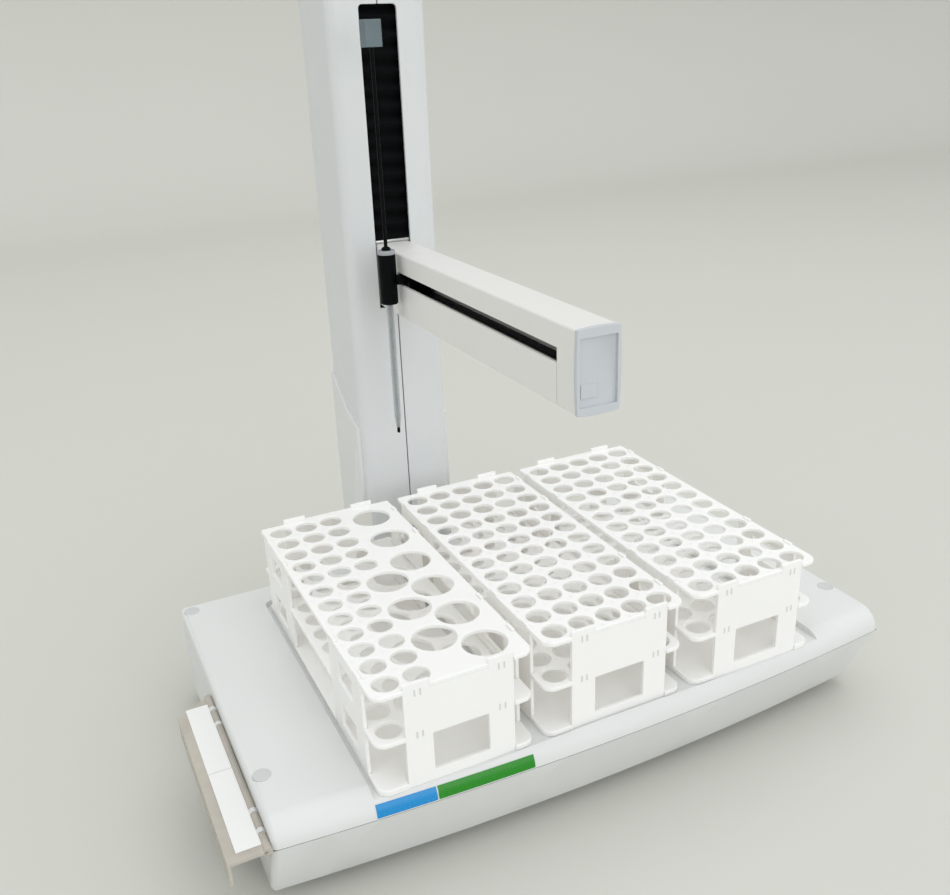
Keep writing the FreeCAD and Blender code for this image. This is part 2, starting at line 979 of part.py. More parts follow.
def window_cutter():
    left = tower_centre - window_width / 2
    right = tower_centre + window_width / 2
    turn = window_round * (1 - math.sqrt(0.5))
    y = tower_front - 1
    top = window_top
    curves = [
        Part.LineSegment(vector(left, y, window_bottom), vector(right, y, window_bottom)),
        Part.LineSegment(vector(right, y, window_bottom), vector(right, y, top - window_round)),
        Part.Arc(
            vector(right, y, top - window_round),
            vector(right - turn, y, top - turn),
            vector(right - window_round, y, top),
        ),
        Part.LineSegment(vector(right - window_round, y, top), vector(left + window_round, y, top)),
        Part.Arc(
            vector(left + window_round, y, top),
            vector(left + turn, y, top - turn),
            vector(left, y, top - window_round),
        ),
        Part.LineSegment(vector(left, y, top - window_round), vector(left, y, window_bottom)),
    ]
    return Part.Face(closed_wire(curves)).extrude(vector(0, tower_wall + 2, 0))


def make_tower_shells():
    tube = tower_tube()
    mouth = box(
        tower_centre - tongue_width / 2 - joint_gap,
        tower_centre + tongue_width / 2 + joint_gap,
        tower_front - 1,
        tower_front + tower_wall + 1,
        tongue_bottom - joint_gap,
        tongue_top + joint_gap,
    )
    tube = tube.cut([window_cutter(), mouth])
    left = tower_half(tower_left - 1, tower_centre - tower_seam / 2)
    right = tower_half(tower_centre + tower_seam / 2, tower_right + 1)
    return tube.common(left), tube.common(right)


def tower_half(x0, x1):
    return box(x0, x1, tower_front - 1, tower_rear + 1, base_bottom - 1, tower_top + 1)


def make_tower_cap():
    top = tower_top + cap_height
    cap = round_prism(tower_left, tower_right, tower_front, tower_rear, tower_top, top, tower_radii(0.0))
    rim = [edge for edge in cap.Edges if edge.BoundBox.ZMin > top - 0.01]
    return cap.makeChamfer(cap_round, rim)


def shroud_outline(inset):
    rear_round = tower_rear_round + shroud_wall - inset
    return round_prism(
        tower_left - shroud_wall + inset,
        tower_right + shroud_wall - inset,
        tower_front + shroud_front_gap,
        tower_rear + shroud_wall - inset,
        base_bottom,
        shroud_rear_top,
        (shroud_edge, shroud_edge, rear_round, rear_round),
    )


def make_shroud():
    # wraps the sides and the back of the tower's lower end; its top edge dips to the front
    shell = shroud_outline(0.0).cut(tower_envelope())
    x = tower_left - shroud_wall - 1
    front_y = tower_front + shroud_front_gap - 1
    dip_end = tower_rear - tower_rear_round
    low = vector(x, front_y, shroud_front_top)
    high = vector(x, dip_end, shroud_rear_top)
    sag_y = front_y + shroud_dip_place * (dip_end - front_y)
    sag = vector(x, sag_y, shroud_front_top + shroud_dip_rise * (shroud_rear_top - shroud_front_top))
    curves = [
        Part.Arc(low, sag, high),
        Part.LineSegment(high, vector(x, dip_end, shroud_rear_top + 1)),
        Part.LineSegment(vector(x, dip_end, shroud_rear_top + 1), vector(x, front_y, shroud_rear_top + 1)),
        Part.LineSegment(vector(x, front_y, shroud_rear_top + 1), low),
    ]
    dip = Part.Face(closed_wire(curves)).extrude(vector(tower_width + 2 * shroud_wall + 2, 0, 0))
    return shell.cut(dip)


def tower_envelope():
    return round_prism(
        tower_left,
        tower_right,
        tower_front,
        tower_rear,
        base_bottom - 1,
        shroud_rear_top + 1,
        tower_radii(0.0),
    )


def z_rod_places():
    return [tower_centre - z_rod_spacing / 2, tower_centre + z_rod_spacing / 2]


def make_z_rods():
    return group([rod_z(x, z_axis_y, tongue_top, tower_top, z_rod_diameter) for x in z_rod_places()])


def make_z_motor():
    half = motor_size / 2
    body = box(
        tower_centre - half,
        tower_centre + half,
        z_axis_y - half,
        z_axis_y + half,
        tongue_top,
        tongue_top + motor_length,
    )
    return body


def make_z_screw():
    low = tongue_top + motor_length + screw_end_gap
    return rod_z(tower_centre, z_axis_y, low, tower_top - screw_end_gap, screw_diameter)


def make_bellows():
    # a folded sheet that hangs behind the window, from its top bracket to the arm
    low = arm_top + bellows_bottom_gap
    high = bellows_top
    y0 = tower_front + tower_wall + bellows_clear
    depth = bellows_depth - bellows_sheet
    step = (high - low) / (2 * bellows_pleats)
    front = []
    back = []
    for fold in range(2 * bellows_pleats + 1):
        y = y0 if fold % 2 == 0 else y0 + depth
        front.append(vector(tower_centre - bellows_width / 2, y, low + fold * step))
        back.append(vector(tower_centre - bellows_width / 2, y + bellows_sheet, low + fold * step))
    return polygon_prism(front + back[::-1], vector(bellows_width, 0, 0))


# Arm


def rounded_bar(x0, x1, y0, y1, z0, z1, radius):
    bar = box(x0, x1, y0, y1, z0, z1)
    along = [edge for edge in bar.Edges if edge.BoundBox.YLength > (y1 - y0) * 0.9]
    return bar.makeFillet(radius, along)


def arm_shell(y0, y1):
    outer = rounded_bar(arm_left, arm_right, y0, y1, arm_bottom, arm_top, arm_round)
    inner = box(
        arm_left + arm_wall, arm_right - arm_wall, y0 - 1, y1 + 1, arm_bottom + arm_wall, arm_top - arm_wall
    )
    return outer.cut(inner)


def make_arm_root():
    # the tube that reaches out of the tower, and the carriage block inside it
    tube_rear = tower_front + root_inside
    tube = arm_shell(root_joint_y, tube_rear)
    slot_start = box(
        arm_left - 1,
        arm_left + arm_wall + 1,
        root_joint_y - 1,
        probe_y + stub_diameter / 2 + 1,
        slot_bottom,
        slot_bottom + slot_height,
    )
    tube = tube.cut(slot_start)
    block_y0 = z_axis_y - carriage_plate / 2
    low = arm_bottom + carriage_inset
    high = arm_top - carriage_inset
    cheek = box(arm_left, arm_left + 2 * arm_wall, tube_rear, block_y0, low, high)
    block = box(
        tower_left + tower_wall + carriage_side_gap,
        tower_right - tower_wall - carriage_side_gap,
        block_y0,
        block_y0 + carriage_plate,
        low,
        high,
    )
    bores = []
    for x in z_rod_places():
        bores.append(bore_z(x, z_axis_y, arm_bottom, arm_top, z_rod_diameter))
    bores.append(bore_z(tower_centre, z_axis_y, arm_bottom, arm_top, screw_diameter))
    return join([tube, cheek, block.cut(bores)])


def make_arm_cover():
    # top, right side, upper left flange and the closed front block
    y0 = arm_front + end_cap
    shell = arm_shell(y0, root_joint_y)
    side_way = box(
        arm_left - 1,
        arm_left + arm_wall + 0.01,
        slot_front_y,
        root_joint_y + 1,
        arm_bottom - 1,
        slot_bottom + slot_height,
    )
    bottom_way = box(
        arm_left - 1,
        arm_right - arm_wall,
        slot_front_y,
        root_joint_y + 1,
        arm_bottom - 1,
        arm_bottom + arm_wall + 0.01,
    )
    return shell.cut([side_way, bottom_way]).removeSplitter()


def make_arm_side_cover():
    # the lower left panel and the underside, below the slot
    y0 = slot_front_y + cover_joint
    y1 = root_joint_y - cover_joint
    shell = arm_shell(y0, y1)
    keep_side = box(arm_left - 1, arm_left + arm_wall, y0 - 1, y1 + 1, arm_bottom - 1, slot_bottom)
    keep_bottom = box(
        arm_left - 1, arm_right - arm_wall, y0 - 1, y1 + 1, arm_bottom - 1, arm_bottom + arm_wall
    )
    return shell.common(keep_side.fuse(keep_bottom)).removeSplitter()


def bowed_face(y):
    # the end cap's outline, with bowed sides, bottom and top
    left = arm_left
    right = arm_right
    low = arm_bottom
    high = arm_top
    middle_x = (left + right) / 2
    middle_z = (low + high) / 2
    curves = [
        Part.Arc(vector(left, y, low), vector(middle_x, y, low - cap_bow), vector(right, y, low)),
        Part.Arc(vector(right, y, low), vector(right + cap_bow, y, middle_z), vector(right, y, high)),
        Part.Arc(vector(right, y, high), vector(middle_x, y, high + cap_bow), vector(left, y, high)),
        Part.Arc(vector(left, y, high), vector(left - cap_bow, y, middle_z), vector(left, y, low)),
    ]
    return Part.Face(closed_wire(curves))


def make_end_cap():
    # a recessed panel with a deeper groove along its right edge and a small pad low on the left
    cap = bowed_face(arm_front).extrude(vector(0, end_cap, 0))
    left = arm_left + cap_rim
    right = arm_right - cap_rim
    low = arm_bottom + cap_panel_low
    high = arm_top - cap_panel_high
    floor_y = arm_front + cap_deep
    panel_cut = box(left, right, arm_front - 1, floor_y, low, high)
    groove = box(right - cap_groove_width, right, arm_front - 1, floor_y + cap_groove_depth, low, high)
    pad_x = left + cap_pad_left
    pad_z = low + cap_pad_low
    pad = box(pad_x, pad_x + cap_pad_width, floor_y - cap_pad_rise, floor_y, pad_z, pad_z + cap_pad_height)
    return cap.cut([panel_cut, groove]).fuse(pad).removeSplitter()


def make_shutter():
    # closes the window below the arm and moves with it
    half = window_width / 2 + shutter_overlap
    y0 = tower_front + tower_wall + bellows_clear
    low = arm_bottom - lift - shutter_under
    return box(tower_centre - half, tower_centre + half, y0, y0 + shutter, low, arm_bottom)


def y_rod_x():
    return tower_centre + y_rod_offset


def make_y_rod():
    y0 = arm_front + end_cap
    return rod_y(y_rod_x(), slot_middle, y0, tower_front + y_rod_root, y_rod_diameter)


def y_belt_x():
    return arm_right - arm_wall - y_belt_from_wall


def y_belt_level():
    return slot_middle - y_belt_under_slot


def y_pulley_places():
    # the front pulley turns in the closed front block, the rear one beside the motor
    return arm_front + end_cap + y_idler_from_cap, z_axis_y - carriage_plate / 2 - y_motor_size / 2


def make_y_belt():
    first, last = y_pulley_places()
    loop = belt_loop(first, last, y_pulley_diameter / 2, belt_width)
    loop.rotate(vector(0, 0, 0), vector(0, 0, 1), 90)
    loop.translate(vector(y_belt_x() + belt_width / 2, 0, y_belt_level()))
    return loop


def make_y_pulley(y):
    x = y_belt_x()
    rim_size = y_pulley_diameter - belt_slack
    rim = bar_x(y, y_belt_level(), x - belt_width / 2, x + belt_width / 2, rim_size, pulley_sides)
    bore = bore_x(y, y_belt_level(), x - belt_width, x + belt_width, y_shaft)
    return rim.cut(bore)


def make_y_motor():
    # flat motor beside the cheek, with the drive shaft, and the idler's own pin at the front
    first, last = y_pulley_places()
    x_face = y_belt_x() + belt_width / 2 + y_motor_gap
    half = y_motor_size / 2
    level = y_belt_level()
    body = box(x_face, x_face + y_motor_length, last - half, last + half, level - half, level + half)
    shaft = rod_x(last, level, y_belt_x() - belt_width / 2 - y_motor_gap, x_face, y_shaft)
    return join([body, shaft])


def make_y_idler_pin():
    first, last = y_pulley_places()
    x0 = y_belt_x() - belt_width / 2 - y_motor_gap
    return rod_x(first, y_belt_level(), x0, arm_right - arm_wall, y_shaft)


# Probe and its carriage


def make_probe_carriage():
    y0 = probe_y - carriage_length / 2
    y1 = probe_y + carriage_length / 2
    x0 = arm_left + arm_wall + carriage_gap
    low = slot_middle - carriage_height / 2
    block = box(x0, x0 + carriage_width, y0, y1, low, low + carriage_height)
    bore = bore_y(y_rod_x(), slot_middle, y0 - 1, y1 + 1, y_rod_diameter)
    grip_x = y_belt_x() - belt_width / 2 - grip_gap - grip
    finger = box(grip_x, grip_x + grip, y0 + grip_inset, y1 - grip_inset, y_belt_level() + grip_inset, low)
    stub = rod_x(probe_y, slot_middle, probe_x + holder_diameter / 2 - 1, x0, stub_diameter)
    return join([block.cut(bore), finger, stub.cut(holder_blank())])


def holder_blank():
    return rod_z(probe_x, probe_y, holder_bottom, holder_bottom + holder_height, holder_diameter)


def make_holder():
    top = holder_bottom + holder_height
    body = bar_z(probe_x, probe_y, holder_bottom, top, holder_diameter, holder_sides)
    bore = bore_z(probe_x, probe_y, holder_bottom - 1, top + 1, sheath_diameter)
    return body.cut(bore)


def make_ring():
    low = holder_bottom + holder_height
    return bar_z(probe_x, probe_y, low, low + ring_height, holder_diameter, holder_sides).cut(rod_bore())


def rod_bore():
    low = holder_bottom
    high = holder_bottom + holder_height + ring_height + nut_height + 1
    return bore_z(probe_x, probe_y, low, high, probe_rod)


def make_nut():
    low = holder_bottom + holder_height + ring_height
    return bar_z(probe_x, probe_y, low, low + nut_height, nut_diameter, stem_sides).cut(rod_bore())


def make_sheath():
    straight = rod_z(probe_x, probe_y, sheath_bottom, sheath_top, sheath_diameter)
    taper_foot = vector(probe_x, probe_y, taper_end)
    taper_length = sheath_bottom - taper_end
    taper = Part.makeCone(taper_diameter / 2, sheath_diameter / 2, taper_length, taper_foot, vector(0, 0, 1))
    return straight.fuse(taper).removeSplitter()


def make_probe_rod():
    return rod_z(probe_x, probe_y, sheath_top, block_bottom, probe_rod)


def make_block():
    x0 = probe_x - block_width / 2
    y0 = probe_y - block_depth / 2
    body = box(x0, x0 + block_width, y0, y0 + block_depth, block_bottom, block_bottom + block_height)
    upright = [edge for edge in body.Edges if edge.BoundBox.ZLength > block_height * 0.9]
    body = body.makeChamfer(block_chamfer, upright)
    top = block_bottom + block_height
    bores = []
    for x in (probe_x - block_width / 4, probe_x + block_width / 4):
        bores.append(bar_z(x, probe_y, block_bottom + block_floor, top + 1, block_bore, block_bore_sides))
    return body.cut(bores)


def make_tip():
    return bar_z(probe_x, probe_y, tip_bottom, taper_end, tip_diameter, tip_sides)


# Wash pump on the left wall, under a see-through cover that hinges up


def pump_shaft_hole():
    return bore_x(pump_y, pump_level, base_left - 1, base_left + base_wall + 1, pump_shaft)


def make_pump_bed():
    x0 = base_left - pump_bed_depth
    back_x = base_left - pump_back
    half = pump_bed_length / 2
    top = pump_level + pump_track_radius + pump_bed_rim
    low = top - pump_bed_height
    body = box(x0, base_left, pump_y - half, pump_y + half, low, top)
    outer_edges = [edge for edge in body.Edges if edge.BoundBox.XMax < x0 + 0.01]
    body = body.makeChamfer(pump_chamfer, outer_edges)
    track = rod_x(pump_y, pump_level, x0 - 1, back_x, 2 * pump_track_radius)
    legs = box(x0 - 1, back_x, pump_y - pump_track_radius, pump_y + pump_track_radius, low - 1, pump_level)
    back = bore_x(pump_y, pump_level, base_left - pump_back - 1, base_left + 1, pump_shaft)
    return body.cut([track, legs, back])


def roller_places():
    places = []
    for number in range(roller_count):
        angle = math.pi / 2 + 2 * math.pi * number / roller_count
        y = pump_y + roller_circle * math.cos(angle)
        places.append((y, pump_level + roller_circle * math.sin(angle)))
    return places


def rotor_faces():
    inner = base_left - pump_back - rotor_gap - rotor_disc_thickness
    outer = inner - roller_length - 2 * roller_play
    return inner, outer


def make_pump_rotor():
    inner, outer = rotor_faces()
    discs = [
        bar_x(pump_y, pump_level, inner, inner + rotor_disc_thickness, rotor_disc, rotor_sides),
        bar_x(pump_y, pump_level, outer - rotor_disc_thickness, outer, rotor_disc, rotor_sides),
    ]
    shaft = rod_x(pump_y, pump_level, outer, base_left + base_wall + pump_shaft_inside, pump_shaft)
    pins = []
    for y, z in roller_places():
        pins.append(rod_x(y, z, outer - rotor_pin_root, inner + rotor_pin_root, rotor_pin))
    return join(discs + [shaft] + pins)


def make_roller(place):
    inner, outer = rotor_faces()
    y, z = place
    body = bar_x(y, z, outer + roller_play, inner - roller_play, roller_diameter, roller_sides)
    bore = bore_x(y, z, outer, inner, rotor_pin)
    return body.cut(bore)


def hinge_x():
    return base_left - knuckle / 2


def knuckle_spans():
    # the cover's two knuckles, with the wall's lug at the far side of each
    first = cover_front_y + knuckle_inset
    last = cover_rear_y - knuckle_inset - knuckle_length
    return [(first, first + knuckle_length), (last, last + knuckle_length)]


def hinge_lugs():
    # lugs and pins of the cover's hinge, rooted in the wall below the seam
    x = hinge_x()
    low_z = hinge_level - lug_drop
    root_top = seam_level - seam_width - joint_gap
    pin_over = hinge_gap + lug_length / 2
    pieces = []
    for low, high in knuckle_spans():
        for y0 in (low - hinge_gap - lug_length, high + hinge_gap):
            pieces.append(bar_y(x, hinge_level, y0, y0 + lug_length, knuckle, lug_sides))
            pieces.append(box(x - knuckle / 2, base_left, y0, y0 + lug_length, low_z, hinge_level))
            pieces.append(box(x, base_left + 1, y0, y0 + lug_length, low_z, root_top))
        pieces.append(rod_y(x, hinge_level, low - pin_over, high + pin_over, hinge_pin))
    return join(pieces)


def make_pump_cover():
    x_in = hinge_x()
    x_out = base_left - cover_reach
    top = hinge_level + cover_thickness / 2
    under = top - cover_thickness
    skirt_low = top - cover_skirt
    y0 = cover_front_y
    y1 = cover_rear_y
    slant_y = y1 - cover_slant
    plan = [vector(x, y, under) for x, y in ((x_in, y0), (x_in, y1), (x_out, slant_y), (x_out, y0))]
    plate_body = polygon_prism(plan, vector(0, 0, cover_thickness))
    wall = box(x_out, x_out + cover_thickness, y0, slant_y, skirt_low, top)
    slope = [
        vector(x_in, y1, skirt_low),
        vector(x_out, slant_y, skirt_low),
        vector(x_out, slant_y - cover_thickness, skirt_low),
        vector(x_in, y1 - cover_thickness, skirt_low),
    ]
    rear_wall = polygon_prism(slope, vector(0, 0, top - skirt_low))
    cover = join([plate_body, wall, rear_wall])
    clear = knuckle / 2 + knuckle_clear
    ways = []
    for low, high in knuckle_spans():
        for y_low in (low - hinge_gap - lug_length, high + hinge_gap):
            y_high = y_low + lug_length + lug_clear
            ways.append(box(x_in - clear, base_left, y_low - lug_clear, y_high, skirt_low - 1, top + 1))
    cover = cover.cut(ways)
    knuckles = []
    for low, high in knuckle_spans():
        knuckles.append(bar_y(x_in, hinge_level, low, high, knuckle, knuckle_sides))
    cover = join([cover] + knuckles)
    bores = []
    for low, high in knuckle_spans():
        wide = hinge_pin + 2 * running_gap
        bores.append(rod_y(x_in, hinge_level, low - lug_length, high + lug_length, wide))
    return cover.cut(bores)


# Rear sockets and the power switch


def switch_hole():
    half_w = switch_width / 2 + joint_gap
    half_h = switch_height / 2 + joint_gap
    return box(
        switch_x - half_w,
        switch_x + half_w,
        base_rear - base_wall - 2,
        base_rear + 2,
        rear_fitting_level - half_h,
        rear_fitting_level + half_h,
    )


def make_switch_frame():
    half_w = switch_width / 2
    half_h = switch_height / 2
    z = rear_fitting_level
    y1 = base_rear + fitting_rise
    sleeve = box(switch_x - half_w, switch_x + half_w, base_rear - fitting_depth, y1, z - half_h, z + half_h)
    wide = half_w + fitting_flange
    tall = half_h + fitting_flange
    flange = box(switch_x - wide, switch_x + wide, base_rear, y1, z - tall, z + tall)
    inner_w = half_w - fitting_wall
    inner_h = half_h - fitting_wall
    low_y = base_rear - fitting_depth - 1
    mouth = box(switch_x - inner_w, switch_x + inner_w, low_y, y1 + 1, z - inner_h, z + inner_h)
    pin_half = half_w - fitting_wall / 2
    pin = rod_x(base_rear - rocker_pin_depth, z, switch_x - pin_half, switch_x + pin_half, rocker_pin)
    return join([sleeve, flange]).cut(mouth).fuse(pin)


def make_rocker():
    # its lower half stands out and its upper half is pressed in
    half_w = switch_width / 2 - fitting_wall - rocker_gap
    half_h = switch_height / 2 - fitting_wall - rocker_play
    z = rear_fitting_level
    y = base_rear - rocker_pin_depth
    x0 = switch_x - half_w
    points = [
        vector(x0, y - rocker_back, z - rocker_back_half),
        vector(x0, y + rocker_raised, z - half_h),
        vector(x0, y + rocker_dip, z),
        vector(x0, y + rocker_pressed, z + half_h),
        vector(x0, y - rocker_back, z + rocker_back_half),
    ]
    body = polygon_prism(points, vector(2 * half_w, 0, 0))
    return body.cut(rod_x(y, z, x0 - 1, x0 + 2 * half_w + 1, rocker_pin + 2 * running_gap))


def socket_hole():
    hole = socket_diameter + 2 * joint_gap
    return bar_y(socket_x, rear_fitting_level, base_rear - base_wall - 2, base_rear + 2, hole, inlet_sides)


def data_hole():
    half_w = data_socket_width / 2 + joint_gap
    half_h = data_socket_height / 2 + joint_gap
    return box(
        data_socket_x - half_w,
        data_socket_x + half_w,
        base_rear - base_wall - 2,
        base_rear + 2,
        rear_fitting_level - half_h,
        rear_fitting_level + half_h,
    )


def make_power_inlet():
    z = rear_fitting_level
    y1 = base_rear + fitting_rise
    low_y = base_rear - fitting_depth
    barrel = bar_y(socket_x, z, low_y, y1, socket_diameter, inlet_sides)
    collar = bar_y(socket_x, z, base_rear, y1, socket_diameter + 2 * fitting_flange, inlet_sides)
    well = bar_y(socket_x, z, low_y + fitting_wall, y1 + 1, inlet_well, inlet_well_sides)
    pin = bar_y(socket_x, z, low_y, base_rear - contact_recess, inlet_pin, inlet_pin_sides)
    return join([barrel, collar]).cut(well).fuse(pin)


def make_data_socket():
    z = rear_fitting_level
    y1 = base_rear + fitting_rise
    half_w = data_socket_width / 2
    half_h = data_socket_height / 2
    low_y = base_rear - fitting_depth
    shell = box(data_socket_x - half_w, data_socket_x + half_w, low_y, y1, z - half_h, z + half_h)
    inner_w = half_w - fitting_wall
    inner_h = half_h - fitting_wall
    mouth = box(
        data_socket_x - inner_w,
        data_socket_x + inner_w,
        low_y + fitting_wall,
        y1 + 1,
        z - inner_h,
        z + inner_h,
    )
    half_w = data_tongue_width / 2
    half_h = data_tongue_height / 2
    contact_y = base_rear - contact_recess
    contact = box(data_socket_x - half_w, data_socket_x + half_w, low_y, contact_y, z - half_h, z + half_h)
    return shell.cut(mouth).fuse(contact)


def make_base():
    save("base_pan", make_base_pan())
    save("top_cover", make_top_cover())
    save("feet", make_feet())
    save("screw_plugs", make_plugs())
    save("x_guide_rods", make_x_rods())
    save("x_rail_brackets", group([make_rail_brackets(), make_idler_bracket()]))
    save("x_belt", make_x_belt())
    save("x_motor", make_x_motor())
    first, last = x_pulley_places()
    save("x_idler_pulley", make_x_pulley(first))
    save("x_drive_pulley", make_x_pulley(last))
    save("rear_fittings", group([make_power_inlet(), make_data_socket(), make_switch_frame()]))
    save("power_switch", make_rocker())


def make_tower():
    left, right = make_tower_shells()
    save("tower_left_shell", left)
    save("tower_right_shell", right)
    save("tower_cap", make_tower_cap())
    save("tower_shroud", make_shroud())
    save("tower_foot", make_tower_foot())
    save("z_guide_rods", make_z_rods())
    save("z_motor", make_z_motor())
    save("z_lead_screw", make_z_screw())
    save("bellows", make_bellows())


def make_arm():
    save("arm_root", make_arm_root())
    save("arm_cover", make_arm_cover())
    save("arm_side_cover", make_arm_side_cover())
    save("arm_end_cap", make_end_cap())
    save("slot_shutter", make_shutter())
    save("y_guide_rod", make_y_rod())
    save("y_belt", make_y_belt())
    save("y_motor", group([make_y_motor(), make_y_idler_pin()]))
    front, rear = y_pulley_places()
    save("y_idler_pulley", make_y_pulley(front))
    save("y_drive_pulley", make_y_pulley(rear))


def make_probe():
    save("probe_carriage", make_probe_carriage())
    save("probe_holder", make_holder())
    save("holder_ring", make_ring())
    save("holder_nut", make_nut())
    save("probe_sheath", make_sheath())
    save("probe_rod", make_probe_rod())
    save("probe_block", make_block())
    save("probe_tip", make_tip())


def make_pump():
    save("pump_bed", make_pump_bed())
    save("pump_rotor", make_pump_rotor())
    for number, place in enumerate(roller_places()):
        save("pump_roller_" + str(number + 1), make_roller(place))
    save("pump_cover", make_pump_cover())


def main():
    os.makedirs("parts", exist_ok=True)
    make_racks()
    make_base()
    make_tower()
    make_arm()
    make_probe()
    make_pump()


main()
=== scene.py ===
"""Bench autosampler: finishes, small parts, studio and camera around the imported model."""

import json
import math

import bmesh
import bpy
from mathutils import Matrix, Vector

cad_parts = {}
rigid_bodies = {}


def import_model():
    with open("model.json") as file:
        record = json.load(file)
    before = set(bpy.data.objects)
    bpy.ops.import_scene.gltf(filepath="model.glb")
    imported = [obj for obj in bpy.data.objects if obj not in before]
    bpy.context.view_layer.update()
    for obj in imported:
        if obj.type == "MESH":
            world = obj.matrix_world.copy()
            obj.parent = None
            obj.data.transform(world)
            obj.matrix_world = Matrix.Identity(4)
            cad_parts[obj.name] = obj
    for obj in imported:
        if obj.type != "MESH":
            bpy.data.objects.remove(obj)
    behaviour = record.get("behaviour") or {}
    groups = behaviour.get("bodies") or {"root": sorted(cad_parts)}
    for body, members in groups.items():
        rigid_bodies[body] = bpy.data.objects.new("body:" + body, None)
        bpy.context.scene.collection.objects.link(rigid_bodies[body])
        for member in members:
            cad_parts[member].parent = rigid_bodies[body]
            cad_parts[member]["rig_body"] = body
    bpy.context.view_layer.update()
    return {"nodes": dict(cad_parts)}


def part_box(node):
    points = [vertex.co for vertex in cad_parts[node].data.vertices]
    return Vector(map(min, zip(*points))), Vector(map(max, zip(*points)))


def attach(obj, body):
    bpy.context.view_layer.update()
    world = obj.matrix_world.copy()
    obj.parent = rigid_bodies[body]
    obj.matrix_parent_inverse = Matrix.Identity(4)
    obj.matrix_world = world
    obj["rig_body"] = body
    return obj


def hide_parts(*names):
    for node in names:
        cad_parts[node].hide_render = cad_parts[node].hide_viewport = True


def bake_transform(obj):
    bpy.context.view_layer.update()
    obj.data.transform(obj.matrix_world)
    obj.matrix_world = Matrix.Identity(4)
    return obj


MM = 0.001

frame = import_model()


def linear(hex_colour, alpha=1.0):
    """A colour written as sRGB hex, as the linear values that the shaders want."""
    channels = []
    for start in (1, 3, 5):
        value = int(hex_colour[start:start + 2], 16) / 255.0
        channels.append(value / 12.92 if value <= 0.04045 else ((value + 0.055) / 1.055) ** 2.4)
    return (*channels, alpha)


def add_node(tree, kind, settings=None, inputs=None):
    """Adds one node to a shader or geometry tree, with its settings, values and links."""
    made = tree.nodes.new(kind)
    for key, value in (settings or {}).items():
        setattr(made, key, value)
    for key, value in (inputs or {}).items():
        if isinstance(value, bpy.types.NodeSocket):
            tree.links.new(value, made.inputs[key])
        else:
            made.inputs[key].default_value = value
    return made


# Materials

GLOSS_DRIFT = 0.06
LINE_STRETCH = 0.02
SCUFF_MM = 9.0


def new_material(name):
    material = bpy.data.materials.new(name)
    material.use_nodes = True
    material.node_tree.nodes.clear()
    return material


def moulded(
    name, hex_colour, tint_hex, roughness, grain_mm, grain_depth, mottle_mm=60.0, settings=None
):
    """A surface with a fine grain, a slow drift of colour and uneven gloss.

    grain_mm is the size of the texture's grains, grain_depth their height and mottle_mm the
    size of the drift, in millimetres. settings are further values of the shader.
    """
    material = new_material(name)
    tree = material.node_tree
    place = add_node(tree, "ShaderNodeTexCoord")
    drift = add_node(tree, "ShaderNodeTexNoise", None, {
        "Vector": place.outputs["Object"],
        "Scale": 1.0 / (mottle_mm * MM),
        "Detail": 3.0,
        "Roughness": 0.55,
    })
    tone = add_node(tree, "ShaderNodeMix", {"data_type": "RGBA"}, {
        "Factor": drift.outputs["Fac"],
        6: linear(hex_colour),
        7: linear(tint_hex),
    })
    grain = add_node(tree, "ShaderNodeTexNoise", None, {
        "Vector": place.outputs["Object"],
        "Scale": 1.0 / (grain_mm * MM),
        "Detail": 2.0,
        "Roughness": 0.6,
    })
    gloss = add_node(tree, "ShaderNodeMapRange", None, {
        "Value": grain.outputs["Fac"],
        "To Min": roughness - GLOSS_DRIFT,
        "To Max": roughness + GLOSS_DRIFT,
    })
    relief = add_node(tree, "ShaderNodeBump", None, {
        "Height": grain.outputs["Fac"],
        "Distance": grain_depth * MM,
        "Strength": 0.6,
    })
    surface = add_node(tree, "ShaderNodeBsdfPrincipled", None, {
        "Base Color": tone.outputs[2],
        "Roughness": gloss.outputs["Result"],
        "Normal": relief.outputs["Normal"],
    })
    for key, value in (settings or {}).items():
        surface.inputs[key].default_value = value
    add_node(tree, "ShaderNodeOutputMaterial", None, {"Surface": surface.outputs["BSDF"]})
    return material


def drawn_metal(name, hex_colour, roughness, line_mm, along):
    """Ground or brushed metal with fine lines that run along one axis, 0 for X, 1 for Y, 2 for Z."""
    material = new_material(name)
    tree = material.node_tree
    place = add_node(tree, "ShaderNodeTexCoord")
    stretch = [1.0, 1.0, 1.0]
    stretch[along] = LINE_STRETCH
    lines_place = add_node(tree, "ShaderNodeMapping", None, {
        "Vector": place.outputs["Object"],
        "Scale": stretch,
    })
    lines = add_node(tree, "ShaderNodeTexNoise", None, {
        "Vector": lines_place.outputs["Vector"],
        "Scale": 1.0 / (line_mm * MM),
        "Detail": 2.0,
    })
    gloss = add_node(tree, "ShaderNodeMapRange", None, {
        "Value": lines.outputs["Fac"],
        "To Min": roughness - 0.08,
        "To Max": roughness + 0.1,
    })
    relief = add_node(tree, "ShaderNodeBump", None, {
        "Height": lines.outputs["Fac"],
        "Distance": 0.01 * MM,
        "Strength": 0.5,
    })
    surface = add_node(tree, "ShaderNodeBsdfPrincipled", None, {
        "Base Color": linear(hex_colour),
        "Metallic": 1.0,
        "Roughness": gloss.outputs["Result"],
        "Normal": relief.outputs["Normal"],
    })
    add_node(tree, "ShaderNodeOutputMaterial", None, {"Surface": surface.outputs["BSDF"]})
    return material


